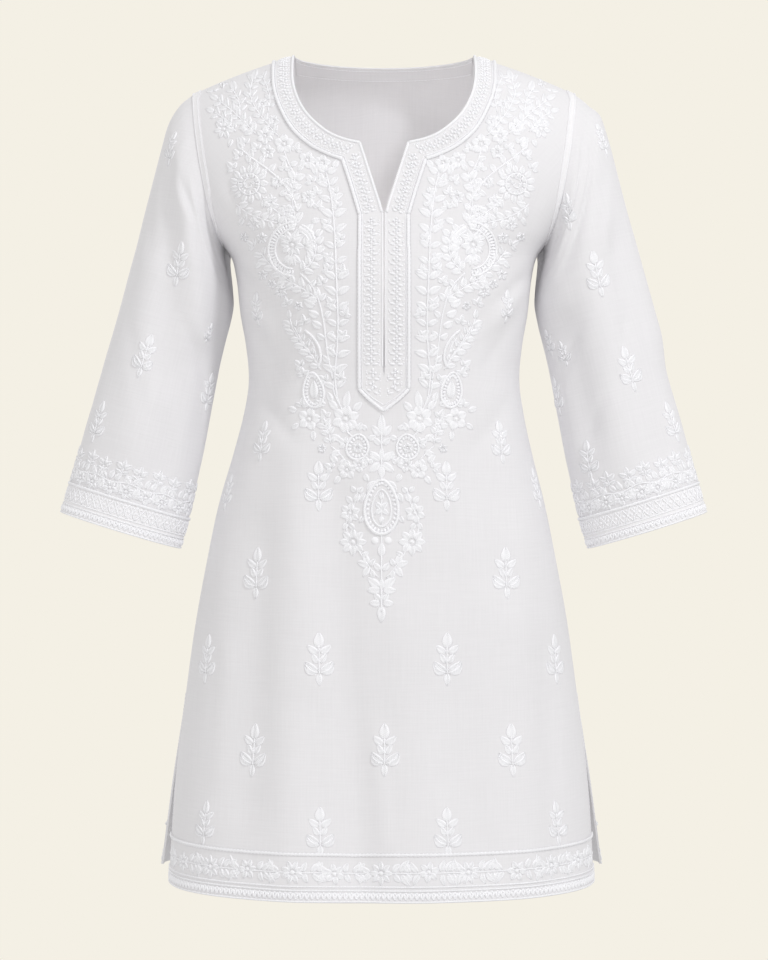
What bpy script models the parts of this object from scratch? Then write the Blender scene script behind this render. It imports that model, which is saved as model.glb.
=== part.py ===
"""A white cotton kurta tunic, open and rounded as it is when worn, made of its sewn pieces.

Metres, +Z up. The front faces -Y and the wearer's left side is +X. The origin lies between the
shoulders: in the plane of the shoulder and side seams, at the middle height of a shoulder seam.
Every panel is a thin wall over a grid of points. A grid has rows from the hem upwards and
columns from the centre line outwards, and neighbours share the points of their seam, so that
their edges run side by side. Trims are made from their panel's own points, moved out or in.
"""

import math
from collections import namedtuple

import bmesh
import bpy
import numpy as np

MM = 0.001
COLLECTION = "kurta_tunic"

# Cloth and seams
CLOTH = 1.2 * MM
TRIM = 1.0 * MM
SEAM_GAP = 0.3 * MM
CORD_RISE = 0.8 * MM
ROUNDNESS = 2.3

# Shoulders and neck
NECK_POINT_X = 89 * MM
NECK_POINT_Z = 19 * MM
SHOULDER_TIP_X = 191 * MM
SHOULDER_TIP_Z = -19 * MM
SHOULDER_RISE = 2.5 * MM
CROWN_DROP_FRONT = 95 * MM
CROWN_DROP_BACK = 62 * MM
CROWN_POWER = 1.8
BACK_NECK_Z = 17 * MM
BACK_FACING_DROP = 12 * MM

# Neck band, placket and slit
BAND_WIDTH = 25.5 * MM
BAND_CORD_SHARE = 0.82
SLIT_HALF_GAP = 0.6 * MM

# Hem, vents and cuffs
HEM_FRONT_CENTRE_Z = -803 * MM
HEM_FRONT_SIDE_Z = -799 * MM
HEM_BACK_CENTRE_Z = -799 * MM
HEM_BACK_SIDE_Z = -794 * MM
HEM_BAND_HEIGHTS = (0.0, 11 * MM, 14.5 * MM, 43 * MM, 46.5 * MM)
CUFF_BAND_HEIGHTS = (0.0, 10 * MM, 13.5 * MM, 28.5 * MM, 32 * MM)
CORD_ROWS = ((1, 2), (3, 4))
VENT_TOP_Z = -612 * MM
UNDERARM_Z = -181 * MM
VENT_OPENING_FRONT = 22 * MM
VENT_OPENING_BACK = 46 * MM
VENT_FLARE_BACK = 15 * MM
VENT_CURVE = 1.6
HIP_SWAY = -2.5 * MM
SWAY_TOP_Z = -300 * MM
SWAY_LENGTH = 160 * MM
VENT_STRIP = 10.5 * MM
ARMHOLE_STRIP = 8 * MM

# Grid
SIDE_COLUMNS = 9
BACK_NECK_COLUMNS = 5
BACK_SHOULDER_COLUMNS = 7
ARMHOLE_ROWS = 10
VENT_ROWS = 5
SIDE_SEAM_ROWS = 15

Section = namedtuple("Section", "name height half_width front_depth back_depth")
# Level sections of the body in millimetres. Above the underarm the half width is the breadth
# that the curve of the chest would reach if the armhole were not cut from it.
SECTIONS = (
    Section("neck", 20, 226, 87, 86),
    Section("collarbone", -20, 222, 90, 90),
    Section("upper chest", -84, 212, 98, 96),
    Section("chest", -126, 195, 107, 97),
    Section("armhole", -160, 170, 114, 96),
    Section("underarm", -181, 153, 118, 95),
    Section("bust", -202, 147.5, 120.5, 93.5),
    Section("under bust", -240, 143, 119.5, 90),
    Section("ribs", -272, 137.5, 116, 88),
    Section("waist", -306, 135.2, 112.5, 87),
    Section("below waist", -340, 140, 111, 88.5),
    Section("high hip", -376, 148.5, 111.5, 92),
    Section("hip", -424, 161.5, 113, 97),
    Section("seat", -484, 174, 115.5, 102),
    Section("thigh", -544, 185, 118, 106),
    Section("vent top", -612, 194.5, 121, 110),
    Section("skirt", -700, 204.5, 125, 114),
    Section("hem", -808, 210, 129, 119),
)

Station = namedtuple("Station", "name x z")
# The armhole seam from the shoulder tip down to the underarm, seen from the front.
ARMHOLE = (
    Station("shoulder tip", 191, -19),
    Station("cap", 187, -52),
    Station("front fold", 180.5, -92),
    Station("lower fold", 173, -130),
    Station("scoop", 166, -156),
    Station("low scoop", 160, -171),
    Station("underarm", 153, -181),
)

NeckRow = namedtuple("NeckRow", "name inner_x inner_z outer_x outer_z")
# The neckline and the outer edge of its band, from the underarm level up to the shoulder seam.
NECK_ROWS = (
    NeckRow("underarm level", 0, -181, 25.0, -181),
    NeckRow("below the v", 0, -164, 25.0, -165.5),
    NeckRow("foot of the v", 0, -148, 25.0, -150),
    NeckRow("middle of the v", 11.2, -113, 33.0, -123),
    NeckRow("notch", 22.3, -78, 41.5, -96.5),
    NeckRow("low scoop", 40.8, -73.5, 53.5, -92),
    NeckRow("scoop", 57.0, -65, 71.5, -82.5),
    NeckRow("side scoop", 72.5, -50.5, 89.5, -66),
    NeckRow("side", 82.5, -33.5, 102.5, -42),
    NeckRow("high side", 88.0, -12.5, 109.5, -19),
    NeckRow("shoulder", 89, 19, 111.5, 12),
)

PlacketRow = namedtuple("PlacketRow", "name side_z centre_z band_z")
# Rows that bend to follow the placket's pointed foot.
PLACKET_ROWS = (
    PlacketRow("below the point", -354, -366, -352),
    PlacketRow("point", -325, -341, -317),
    PlacketRow("end of the slit", -296, -305, -299),
)
PLACKET_FOOT = 1

SleeveRing = namedtuple("SleeveRing", "name outer_x outer_z inner_x inner_z half_depth centre_y")
# Slanting sections of the sleeve: its outer and inner edge seen from the front, its half depth
# from front to back, and its middle in that direction.
SLEEVE_RINGS = (
    SleeveRing("armhole", 191, -19, 153, -181, 56, 1),
    SleeveRing("cap 1", 203.5, -29.5, 153.5, -187.5, 58, 1),
    SleeveRing("cap 2", 214, -46, 153, -195, 60, 1),
    SleeveRing("cap 3", 221, -68, 152, -204.5, 61, 1),
    SleeveRing("cap 4", 228, -95, 151, -216, 61, 2),
    SleeveRing("bicep", 236, -127, 150.5, -230, 60, 2),
    SleeveRing("upper arm", 245, -162, 153.5, -247, 58, 2),
    SleeveRing("above elbow", 255, -199, 158.5, -266, 56, 2),
    SleeveRing("elbow", 265.5, -238, 163.5, -287, 54, 1),
    SleeveRing("below elbow", 276.5, -277, 168.5, -313, 52, -1),
    SleeveRing("forearm 1", 287.5, -316, 174.5, -346, 50, -3),
    SleeveRing("forearm 2", 298.5, -355, 182, -386, 48, -6),
    SleeveRing("cuff band", 312, -405.2, 194.7, -441.2, 45, -9),
    SleeveRing("cuff edge", 320.8, -436, 203.5, -472, 44, -11),
)
ARMHOLE_BLEND_RINGS = 7
RINGS_TO_BAND = (0, 1, 2, 3, 4, 5, 6, 7, 8, 9, 9.5, 10, 10.5, 11, 11.5)

BodyFold = namedtuple("BodyFold", "name top_x top_z foot_x foot_z half_width rise")
# Soft troughs (negative rise) and ridges that the worn cloth keeps, in millimetres.
FRONT_FOLDS = (
    BodyFold("left drag", 92, -235, 114, -312, 17, -3.2),
    BodyFold("left hip trough", 84, -352, 118, -520, 21, -3.0),
    BodyFold("left skirt ridge", 124, -440, 141, -790, 27, 3.6),
    BodyFold("left vent trough", 160, -560, 172, -790, 22, -3.0),
    BodyFold("middle ridge", 30, -520, 34, -800, 30, 2.6),
    BodyFold("middle trough", -48, -400, -20, -800, 23, -3.8),
    BodyFold("right ridge", -80, -370, -88, -800, 26, 4.0),
    BodyFold("right skirt trough", -118, -440, -132, -740, 21, -3.4),
    BodyFold("right drag", -104, -215, -120, -345, 18, -3.4),
)
BACK_FOLDS = (
    BodyFold("left back drag", 96, -230, 84, -330, 20, -3.0),
    BodyFold("left back trough", 66, -340, 92, -780, 25, -4.0),
    BodyFold("left back ridge", 112, -420, 134, -790, 27, 3.6),
    BodyFold("back ridge", 18, -420, 24, -790, 30, 3.0),
    BodyFold("right back trough", -42, -360, -58, -780, 25, -4.0),
    BodyFold("right back ridge", -104, -430, -126, -790, 27, 3.4),
    BodyFold("right back drag", -88, -225, -74, -330, 20, -3.0),
)
FOLD_FADE = 60 * MM

SleeveFold = namedtuple("SleeveFold", "name ring_top around_top ring_foot around_foot spread rise")
# Sleeve folds run between two rings; around is in degrees from the top, through the front.
LEFT_SLEEVE_FOLDS = (
    SleeveFold("outer fullness", 1.5, 2, 9.0, 2, 40, 4.0),
    SleeveFold("cap trough", 1.0, 52, 5.0, 108, 20, -2.6),
    SleeveFold("outer trough", 5.5, 52, 11.5, 66, 19, -2.6),
    SleeveFold("front ridge", 4.0, 84, 11.5, 100, 22, 2.6),
    SleeveFold("elbow trough", 6.5, 128, 11.0, 122, 19, -3.0),
    SleeveFold("back trough", 4.0, 262, 11.0, 250, 24, -3.0),
    SleeveFold("back ridge", 3.0, 300, 11.0, 300, 22, 2.4),
)
RIGHT_SLEEVE_FOLDS = (
    SleeveFold("spiral trough", 2.5, 40, 9.5, 104, 19, -3.4),
    SleeveFold("inner ridge", 3.0, 76, 7.5, 126, 19, 2.8),
    SleeveFold("front ridge", 6.0, 62, 11.5, 86, 22, 2.6),
    SleeveFold("forearm trough", 8.0, 126, 11.5, 118, 18, -2.2),
    SleeveFold("back trough", 4.0, 255, 11.0, 262, 24, -3.0),
    SleeveFold("back ridge", 3.0, 305, 11.0, 295, 22, 2.4),
)
SLEEVE_FOLD_FADE = 1.2

Finish = namedtuple("Finish", "colour roughness")
COTTON = Finish((0.90, 0.90, 0.905, 1.0), 0.85)
EMBROIDERED = Finish((0.95, 0.95, 0.945, 1.0), 0.70)


def follow(keys, values, at):
    """A smooth curve through a table's values, level beyond its ends."""
    keys = np.asarray(keys, float)
    values = np.asarray(values, float)
    if keys[0] > keys[-1]:
        keys = keys[::-1]
        values = values[::-1]
    steps = np.diff(keys)
    rises = np.diff(values) / steps
    slopes = np.empty(len(keys))
    slopes[1:-1] = (rises[:-1] * steps[1:] + rises[1:] * steps[:-1]) / (steps[1:] + steps[:-1])
    slopes[0] = rises[0]
    slopes[-1] = rises[-1]
    at = min(max(at, keys[0]), keys[-1])
    cell = min(int(np.searchsorted(keys, at, "right")) - 1, len(steps) - 1)
    step = steps[cell]
    share = (at - keys[cell]) / step
    rest = 1 - share
    return (
        values[cell] * rest * rest * (1 + 2 * share)
        + values[cell + 1] * share * share * (1 + 2 * rest)
        + slopes[cell] * step * share * rest * rest
        - slopes[cell + 1] * step * share * share * rest
    )


def ease(value):
    """0 to 1 with level ends."""
    value = min(max(value, 0.0), 1.0)
    return value * value * (3 - 2 * value)


def section(height, column):
    """One column of the body's section table at a height."""
    keys = [row.height * MM for row in SECTIONS]
    return follow(keys, [getattr(row, column) * MM for row in SECTIONS], height)


def shoulder_height(x):
    """The shoulder seam's height at a distance from the centre line, and its arch over the neck."""
    slope = (SHOULDER_TIP_Z - NECK_POINT_Z) / (SHOULDER_TIP_X - NECK_POINT_X)
    if abs(x) < NECK_POINT_X:
        return NECK_POINT_Z - slope * (NECK_POINT_X - x * x / NECK_POINT_X) / 2
    share = min((abs(x) - NECK_POINT_X) / (SHOULDER_TIP_X - NECK_POINT_X), 1.0)
    return NECK_POINT_Z + slope * (abs(x) - NECK_POINT_X) + 4 * SHOULDER_RISE * share * (1 - share)


def crown(face, x, height):
    """0 on the shoulder line and 1 where the cloth hangs clear of the shoulder's curve."""
    drop = CROWN_DROP_FRONT if face < 0 else CROWN_DROP_BACK
    share = (shoulder_height(x) - height) / drop
    share = min(max(share, 0.0), 1.0)
    return (1 - (1 - share) ** CROWN_POWER) ** (1 / CROWN_POWER)


def below_vent_top(height):
    """0 above the vents, growing to 1 at the hem."""
    return max(0.0, (VENT_TOP_Z - height) / (VENT_TOP_Z - HEM_FRONT_CENTRE_Z))


def body_width(face, height):
    """Half width of a section; face is -1 for the front and 1 for the back."""
    below = below_vent_top(height)
    flare = VENT_FLARE_BACK * below ** VENT_CURVE if face > 0 else 0.0
    return section(height, "half_width") + flare


def fold_rise(folds, x, height):
    """How far the folds lift or sink the cloth at a place on a panel."""
    total = 0.0
    for fold in folds:
        run = (height - fold.top_z * MM) / ((fold.foot_z - fold.top_z) * MM)
        line = (fold.top_x + (fold.foot_x - fold.top_x) * run) * MM
        length = abs(fold.foot_z - fold.top_z) * MM
        ends = ease(0.5 + run * length / FOLD_FADE) * ease(0.5 + (1 - run) * length / FOLD_FADE)
        total += fold.rise * MM * ends * math.exp(-(((x - line) / (fold.half_width * MM)) ** 2))
    return total


def body_point(face, side, angle, height):
    """A point of the front or back; angle is 0 on the centre line and a right angle at the side."""
    power = 2 / ROUNDNESS
    x = side * body_width(face, height) * math.sin(angle) ** power
    depth = section(height, "front_depth" if face < 0 else "back_depth")
    below = below_vent_top(height)
    opening = (VENT_OPENING_FRONT if face < 0 else VENT_OPENING_BACK) * below ** VENT_CURVE
    y = depth * max(math.cos(angle), 0.0) ** power * crown(face, x, height) + opening
    rise = fold_rise(FRONT_FOLDS if face < 0 else BACK_FOLDS, x, height)
    rise *= math.cos(angle) ** 0.5 if angle < math.pi / 2 else 0.0
    x += side * rise * math.sin(angle) + HIP_SWAY * ease((SWAY_TOP_Z - height) / SWAY_LENGTH)
    y += rise * math.cos(angle)
    return np.array((x, face * y, height))


def angle_at(face, x, height):
    """The section angle of a distance from the centre line."""
    share = min(x / body_width(face, height), 1.0)
    return math.asin(share ** (ROUNDNESS / 2))


def inset_angle(face, edge_angle, height, distance):
    """The section angle that lies a distance inside an edge."""
    edge = body_point(face, 1, edge_angle, height)
    low = 0.0
    high = edge_angle
    for _ in range(30):
        middle = (low + high) / 2
        if np.linalg.norm(body_point(face, 1, middle, height) - edge) > distance:
            low = middle
        else:
            high = middle
    return (low + high) / 2


def armhole_place(share):
    """x and z on the armhole, from 0 at the shoulder tip to 1 at the underarm, evenly spaced."""
    keys = list(range(len(ARMHOLE)))
    fine = np.linspace(0, keys[-1], 121)
    xs = [follow(keys, [s.x * MM for s in ARMHOLE], k) for k in fine]
    zs = [follow(keys, [s.z * MM for s in ARMHOLE], k) for k in fine]
    ys = [body_point(-1, 1, angle_at(-1, x, z), z)[1] for x, z in zip(xs, zs)]
    path = np.array((xs, ys, zs)).T
    run = np.concatenate(([0.0], np.cumsum(np.linalg.norm(np.diff(path, axis=0), axis=1))))
    at = share * run[-1]
    return float(np.interp(at, run, xs)), float(np.interp(at, run, zs))


def armhole_rows():
    """x and z of the armhole's row ends, from the underarm up to the shoulder tip."""
    return [armhole_place(1 - k / ARMHOLE_ROWS) for k in range(ARMHOLE_ROWS + 1)]


def side_heights(hem_side_z):
    """Heights of the rows at the side, from the hem up to the row below the underarm."""
    hem = [hem_side_z + height for height in HEM_BAND_HEIGHTS]
    vent = list(np.linspace(hem[-1], VENT_TOP_Z, VENT_ROWS + 1)[1:])
    seam = list(np.linspace(VENT_TOP_Z, UNDERARM_Z, SIDE_SEAM_ROWS + 1)[1:-1])
    return hem + vent + seam


def hem_share(index, side_z, hem_side_z):
    """How much of the hem's curve a row follows: all of it in the band, none above the vents."""
    if index < len(HEM_BAND_HEIGHTS):
        return 1.0
    return max(0.0, (VENT_TOP_Z - side_z) / (VENT_TOP_Z - hem_side_z))


def placket_row(row):
    """The index of the row that ends nearest to a placket row's height at the side."""
    heights = side_heights(HEM_FRONT_SIDE_Z)
    return min(range(len(heights)), key=lambda k: abs(heights[k] - row.side_z * MM))


def side_share(column, count):
    """Even spacing of the columns from the band's edge to the strip's."""
    return column / (count - 1)


def front_sheet(side):
    """Points of one half of the front: rows by columns."""
    rows = []
    heights = side_heights(HEM_FRONT_SIDE_Z)
    placket = {placket_row(row): row for row in PLACKET_ROWS}
    slit_row = placket_row(PLACKET_ROWS[-1])
    for index, side_z in enumerate(heights):
        centre_z = side_z
        band_z = side_z
        if index in placket:
            centre_z = placket[index].centre_z * MM
            band_z = placket[index].band_z * MM
        elif side_z < VENT_TOP_Z:
            lift = hem_share(index, side_z, HEM_FRONT_SIDE_Z)
            centre_z = side_z + (HEM_FRONT_CENTRE_Z - HEM_FRONT_SIDE_Z) * lift
            band_z = centre_z
        inner_x = SLIT_HALF_GAP if index > slit_row else 0.0
        rows.append(front_row(side, inner_x, centre_z, BAND_WIDTH, band_z, None, side_z))
    for neck, (edge_x, edge_z) in zip(NECK_ROWS, armhole_rows()):
        inner_x = max(neck.inner_x * MM, SLIT_HALF_GAP)
        rows.append(
            front_row(
                side, inner_x, neck.inner_z * MM, neck.outer_x * MM, neck.outer_z * MM, edge_x, edge_z
            )
        )
    top = NECK_ROWS[-1]
    rows[-1] = front_shoulder_row(side, top.inner_x * MM, top.outer_x * MM)
    return np.array(rows)


def front_row(side, inner_x, inner_z, outer_x, outer_z, edge_x, edge_z):
    """One row of the front: the band's three points, the open cloth and the edge strip."""
    inner = angle_at(-1, inner_x, inner_z)
    outer = angle_at(-1, outer_x, outer_z)
    edge = math.pi / 2 if edge_x is None else angle_at(-1, edge_x, edge_z)
    width = VENT_STRIP if edge_x is None else ARMHOLE_STRIP
    strip = inset_angle(-1, edge, edge_z, width)
    cord = BAND_CORD_SHARE
    places = [
        (inner, inner_z),
        (inner + (outer - inner) * cord, inner_z + (outer_z - inner_z) * cord),
    ]
    for column in range(SIDE_COLUMNS):
        share = side_share(column, SIDE_COLUMNS)
        level = share if edge_x is not None else share * share
        strip_share = (strip - outer) / (edge - outer)
        strip_z = outer_z + (edge_z - outer_z) * strip_share
        places.append((outer + (strip - outer) * share, outer_z + (strip_z - outer_z) * level))
    places.append((edge, edge_z))
    return [body_point(-1, side, angle, height) for angle, height in places]


def front_shoulder_row(side, inner_x, outer_x):
    """The front's top row, which lies on the shoulder seam."""
    strip_x = SHOULDER_TIP_X - ARMHOLE_STRIP
    xs = [inner_x, inner_x + (outer_x - inner_x) * BAND_CORD_SHARE]
    for column in range(SIDE_COLUMNS):
        xs.append(outer_x + (strip_x - outer_x) * side_share(column, SIDE_COLUMNS))
    xs.append(SHOULDER_TIP_X)
    return [np.array((side * x, 0.0, shoulder_height(x))) for x in xs]


def tip_point(side):
    """The shoulder tip."""
    return np.array((side * SHOULDER_TIP_X, 0.0, SHOULDER_TIP_Z))


def back_neck_height(x):
    """The back neckline's height."""
    return BACK_NECK_Z + (NECK_POINT_Z - BACK_NECK_Z) * (x / NECK_POINT_X) ** 2


def back_sheet(side):
    """Points of one half of the back: rows by columns."""
    rows = []
    count = BACK_NECK_COLUMNS + BACK_SHOULDER_COLUMNS
    neck_share = NECK_POINT_X / SHOULDER_TIP_X
    shares = [neck_share * k / BACK_NECK_COLUMNS for k in range(BACK_NECK_COLUMNS + 1)]
    rest = BACK_SHOULDER_COLUMNS - 1
    strip_share = 1 - ARMHOLE_STRIP / SHOULDER_TIP_X
    shares += [neck_share + (strip_share - neck_share) * k / rest for k in range(1, rest + 1)]
    for index, side_z in enumerate(side_heights(HEM_BACK_SIDE_Z)):
        drop = (HEM_BACK_CENTRE_Z - HEM_BACK_SIDE_Z) * hem_share(index, side_z, HEM_BACK_SIDE_Z)
        strip = inset_angle(1, math.pi / 2, side_z, VENT_STRIP)
        row = []
        for share in shares:
            angle = strip * share / strip_share
            height = side_z + drop * (1 - (share / strip_share) ** 2)
            row.append(body_point(1, side, angle, height))
        row.append(body_point(1, side, math.pi / 2, side_z))
        rows.append(row)
    edges = armhole_rows()
    for index, (edge_x, edge_z) in enumerate(edges):
        climb = (edge_z - UNDERARM_Z) / (SHOULDER_TIP_Z - UNDERARM_Z)
        row = []
        for column, share in enumerate(shares):
            top_x = share * SHOULDER_TIP_X
            top_z = shoulder_height(top_x) if column >= BACK_NECK_COLUMNS else back_neck_height(top_x)
            height = UNDERARM_Z + (top_z - UNDERARM_Z) * climb
            if index == ARMHOLE_ROWS - 1:
                inward = max(0, column - BACK_NECK_COLUMNS) / (count - BACK_NECK_COLUMNS)
                facing = top_z - BACK_FACING_DROP
                height = facing + (height - facing) * ease(inward)
            if index == ARMHOLE_ROWS and column >= BACK_NECK_COLUMNS:
                row.append(np.array((side * top_x, 0.0, height)))
                continue
            if index == ARMHOLE_ROWS:
                angle = angle_at(1, top_x, height)
            else:
                edge = angle_at(1, edge_x, edge_z)
                strip = inset_angle(1, edge, edge_z, ARMHOLE_STRIP)
                angle = strip * share / strip_share
                top = angle_at(1, top_x, top_z)
                angle += (top - angle) * climb ** 2
                if column == count - 1:
                    angle = strip
                    height = edge_z + (height - edge_z) * climb
            row.append(body_point(1, side, angle, height))
        edge = angle_at(1, edge_x, edge_z)
        row.append(body_point(1, side, edge, edge_z) if edge_z < SHOULDER_TIP_Z else tip_point(side))
        rows.append(row)
    return np.array(rows)


def sleeve_value(ring, column):
    """One column of the sleeve's ring table at a place between two rings."""
    keys = list(range(len(SLEEVE_RINGS)))
    return follow(keys, [getattr(row, column) * MM for row in SLEEVE_RINGS], ring)


def sleeve_oval(ring, around):
    """A point of the plain oval tube; around is an angle from the top through the front."""
    outer = np.array((sleeve_value(ring, "outer_x"), 0.0, sleeve_value(ring, "outer_z")))
    inner = np.array((sleeve_value(ring, "inner_x"), 0.0, sleeve_value(ring, "inner_z")))
    middle = (outer + inner) / 2
    middle[1] = sleeve_value(ring, "centre_y")
    across = (outer - inner) / 2
    depth = np.array((0.0, -sleeve_value(ring, "half_depth"), 0.0))
    return middle + across * math.cos(around) + depth * math.sin(around)


def sleeve_fold_rise(folds, ring, around):
    """How far the sleeve's folds lift or sink the cloth."""
    total = 0.0
    for fold in folds:
        run = (ring - fold.ring_top) / (fold.ring_foot - fold.ring_top)
        line = math.radians(fold.around_top + (fold.around_foot - fold.around_top) * run)
        length = fold.ring_foot - fold.ring_top
        ends = ease(0.5 + run * length / SLEEVE_FOLD_FADE)
        ends *= ease(0.5 + (1 - run) * length / SLEEVE_FOLD_FADE)
        turn = (around - line + math.pi) % (2 * math.pi) - math.pi
        away = turn / math.radians(fold.spread)
        total += fold.rise * MM * ends * math.exp(-away * away)
    return total


def sleeve_point(side, ring, around):
    """A point of a sleeve, from the armhole seam's own curve to the cuff."""
    point = sleeve_oval(ring, around)
    back = around > math.pi
    share = (2 * math.pi - around if back else around) / math.pi
    x, z = armhole_place(share)
    face = 1 if back else -1
    seam = body_point(face, 1, angle_at(face, x, z), z)
    blend = 1 - ease(ring / ARMHOLE_BLEND_RINGS)
    point = point + (seam - sleeve_oval(0, around)) * blend
    middle = (sleeve_oval(ring, 0) + sleeve_oval(ring, math.pi)) / 2
    outward = point - middle
    outward /= np.linalg.norm(outward)
    folds = LEFT_SLEEVE_FOLDS if side > 0 else RIGHT_SLEEVE_FOLDS
    point = point + outward * sleeve_fold_rise(folds, ring, around)
    point[0] *= side
    return point


def sleeve_rings():
    """Ring places from the armhole to the cuff's edge."""
    last = len(SLEEVE_RINGS) - 1
    depth = CUFF_BAND_HEIGHTS[-1]
    band = [last - height / depth for height in reversed(CUFF_BAND_HEIGHTS)]
    return list(RINGS_TO_BAND) + band


def sleeve_sheet(side):
    """Points of a sleeve: rings by places around, the first place repeated at the end."""
    count = 2 * ARMHOLE_ROWS
    rows = []
    for ring in sleeve_rings():
        row = [sleeve_point(side, ring, 2 * math.pi * k / count) for k in range(count)]
        row.append(row[0])
        rows.append(row)
    return np.array(rows)


def point_key(point):
    """A name for a place, so that the points of two pieces' shared seam find each other."""
    return tuple(int(round(value / (0.01 * MM))) for value in point)


def add_normals(store, sheet, sign):
    """Adds each face's normal to its four points in the store."""
    rows, columns = sheet.shape[:2]
    for row in range(rows - 1):
        for column in range(columns - 1):
            a = sheet[row, column]
            b = sheet[row, column + 1]
            c = sheet[row + 1, column + 1]
            d = sheet[row + 1, column]
            normal = np.cross(c - a, d - b) * sign
            for corner in (a, b, c, d):
                key = point_key(corner)
                store[key] = store.get(key, 0.0) + normal


def read_normals(store, sheet):
    """Unit normals of a sheet's points."""
    normals = np.empty_like(sheet)
    for row in range(sheet.shape[0]):
        for column in range(sheet.shape[1]):
            normal = store[point_key(sheet[row, column])]
            normals[row, column] = normal / np.linalg.norm(normal)
    return normals


def set_shoulder_normals(sheet, normals, first):
    """Turns the normals along a shoulder seam into the seam's own plane."""
    for column in range(first + 1, sheet.shape[1] - 1):
        along = sheet[-1, column + 1] - sheet[-1, column - 1]
        up = np.array((-along[2], 0.0, along[0]))
        up *= math.copysign(1.0, up[2])
        normals[-1, column] = up / np.linalg.norm(up)


def seam_shift(edge, normals, inner):
    """Moves along the cloth, away from a seam, by half of the gap."""
    moves = np.zeros_like(edge)
    last = len(edge) - 1
    for k in range(len(edge)):
        along = edge[min(k + 1, last)] - edge[max(k - 1, 0)]
        across = np.cross(along, normals[k])
        across /= np.linalg.norm(across)
        across *= math.copysign(1.0, float(np.dot(across, inner[k] - edge[k])))
        moves[k] = across * SEAM_GAP / 2
    return moves


Sheet = namedtuple("Sheet", "points normals")


def body_sheet(points, normals, face, armhole_moves):
    """A half panel with its edges drawn back from the side, shoulder and armhole seams."""
    moved = points.copy()
    first = len(points) - 1 - ARMHOLE_ROWS
    moved[:, -1, 1] += face * SEAM_GAP / 2
    moved[-1, :-1, 1] += face * SEAM_GAP / 2
    moved[first:, -1] += armhole_moves
    return Sheet(moved, normals)


def make_sheets():
    """All main sheets, with shared normals along their seams and gaps between their edges."""
    fronts = {side: front_sheet(side) for side in (-1, 1)}
    backs = {side: back_sheet(side) for side in (-1, 1)}
    sleeves = {side: sleeve_sheet(side) for side in (-1, 1)}
    store = {}
    for side in (-1, 1):
        add_normals(store, fronts[side], side)
        add_normals(store, backs[side], -side)
        add_normals(store, sleeves[side], side)
    sheets = {}
    for side in (-1, 1):
        front_normals = read_normals(store, fronts[side])
        back_normals = read_normals(store, backs[side])
        sleeve_normals = read_normals(store, sleeves[side])
        set_shoulder_normals(fronts[side], front_normals, 0)
        set_shoulder_normals(backs[side], back_normals, BACK_NECK_COLUMNS)
        ring = sleeves[side][0]
        inner = sleeves[side][1]
        closed = np.vstack((ring[-2:-1], ring, ring[1:2]))
        closed_inner = np.vstack((inner[-2:-1], inner, inner[1:2]))
        closed_normals = np.vstack((sleeve_normals[0][-2:-1], sleeve_normals[0], sleeve_normals[0][1:2]))
        moves = seam_shift(closed, closed_normals, closed_inner)[1:-1]
        sleeve = sleeves[side].copy()
        sleeve[0] += moves
        front_moves = -moves[ARMHOLE_ROWS::-1]
        back_moves = -moves[ARMHOLE_ROWS:]
        sheets["front", side] = body_sheet(fronts[side], front_normals, -1, front_moves)
        sheets["back", side] = body_sheet(backs[side], back_normals, 1, back_moves)
        sheets["sleeve", side] = Sheet(sleeve, sleeve_normals)
    return sheets


def finish_material(name, finish):
    """A Principled material of one colour."""
    material = bpy.data.materials.new(name)
    material.use_nodes = True
    shader = material.node_tree.nodes["Principled BSDF"]
    shader.inputs["Base Color"].default_value = finish.colour
    shader.inputs["Roughness"].default_value = finish.roughness
    shader.inputs["Metallic"].default_value = 0.0
    return material


def cloth_wall(collection, name, sheets, low, high, finish, rises=None):
    """A closed wall between two distances from its sheets' points, welded where they meet."""
    mesh = bmesh.new()
    inward = mesh.verts.layers.float_vector.new("inward")
    for number, sheet in enumerate(sheets):
        rows, columns = sheet.points.shape[:2]
        grid = bmesh.ops.create_grid(mesh, x_segments=columns - 1, y_segments=rows - 1, size=1.0)
        for vert in grid["verts"]:
            column = round((vert.co.x + 1) / 2 * (columns - 1))
            row = round((vert.co.y + 1) / 2 * (rows - 1))
            normal = sheet.normals[row, column]
            outer = high + (rises[number][row, column] if rises else 0.0)
            vert.co = sheet.points[row, column] + normal * outer
            vert[inward] = normal * (low - outer)
    bmesh.ops.triangulate(mesh, faces=mesh.faces[:], quad_method="FIXED")
    bmesh.ops.remove_doubles(mesh, verts=mesh.verts[:], dist=0.02 * MM)
    grown = bmesh.ops.extrude_face_region(mesh, geom=mesh.faces[:], use_keep_orig=True)
    for item in grown["geom"]:
        if isinstance(item, bmesh.types.BMVert):
            item.co += item[inward]
    bmesh.ops.recalc_face_normals(mesh, faces=mesh.faces[:])
    if mesh.calc_volume(signed=True) < 0:
        bmesh.ops.reverse_faces(mesh, faces=mesh.faces[:])
    data = bpy.data.meshes.new(name)
    mesh.to_mesh(data)
    mesh.free()
    data.materials.append(finish_material(name, finish))
    piece = bpy.data.objects.new(name, data)
    collection.objects.link(piece)
    data.shade_smooth()
    data.set_sharp_from_angle(angle=math.radians(50))
    return piece


def part_of(sheet, rows, columns):
    """A stretch of a sheet's rows and columns."""
    return Sheet(sheet.points[rows, columns].copy(), sheet.normals[rows, columns])


def cord_rises(sheet, cord_rows, along_rows=True):
    """Rises that lift pairs of rows or columns into cords."""
    rises = np.zeros(sheet.points.shape[:2])
    for pair in cord_rows:
        for index in pair:
            if along_rows:
                rises[index, :] = CORD_RISE
            else:
                rises[:, index] = CORD_RISE
    return rises


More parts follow.
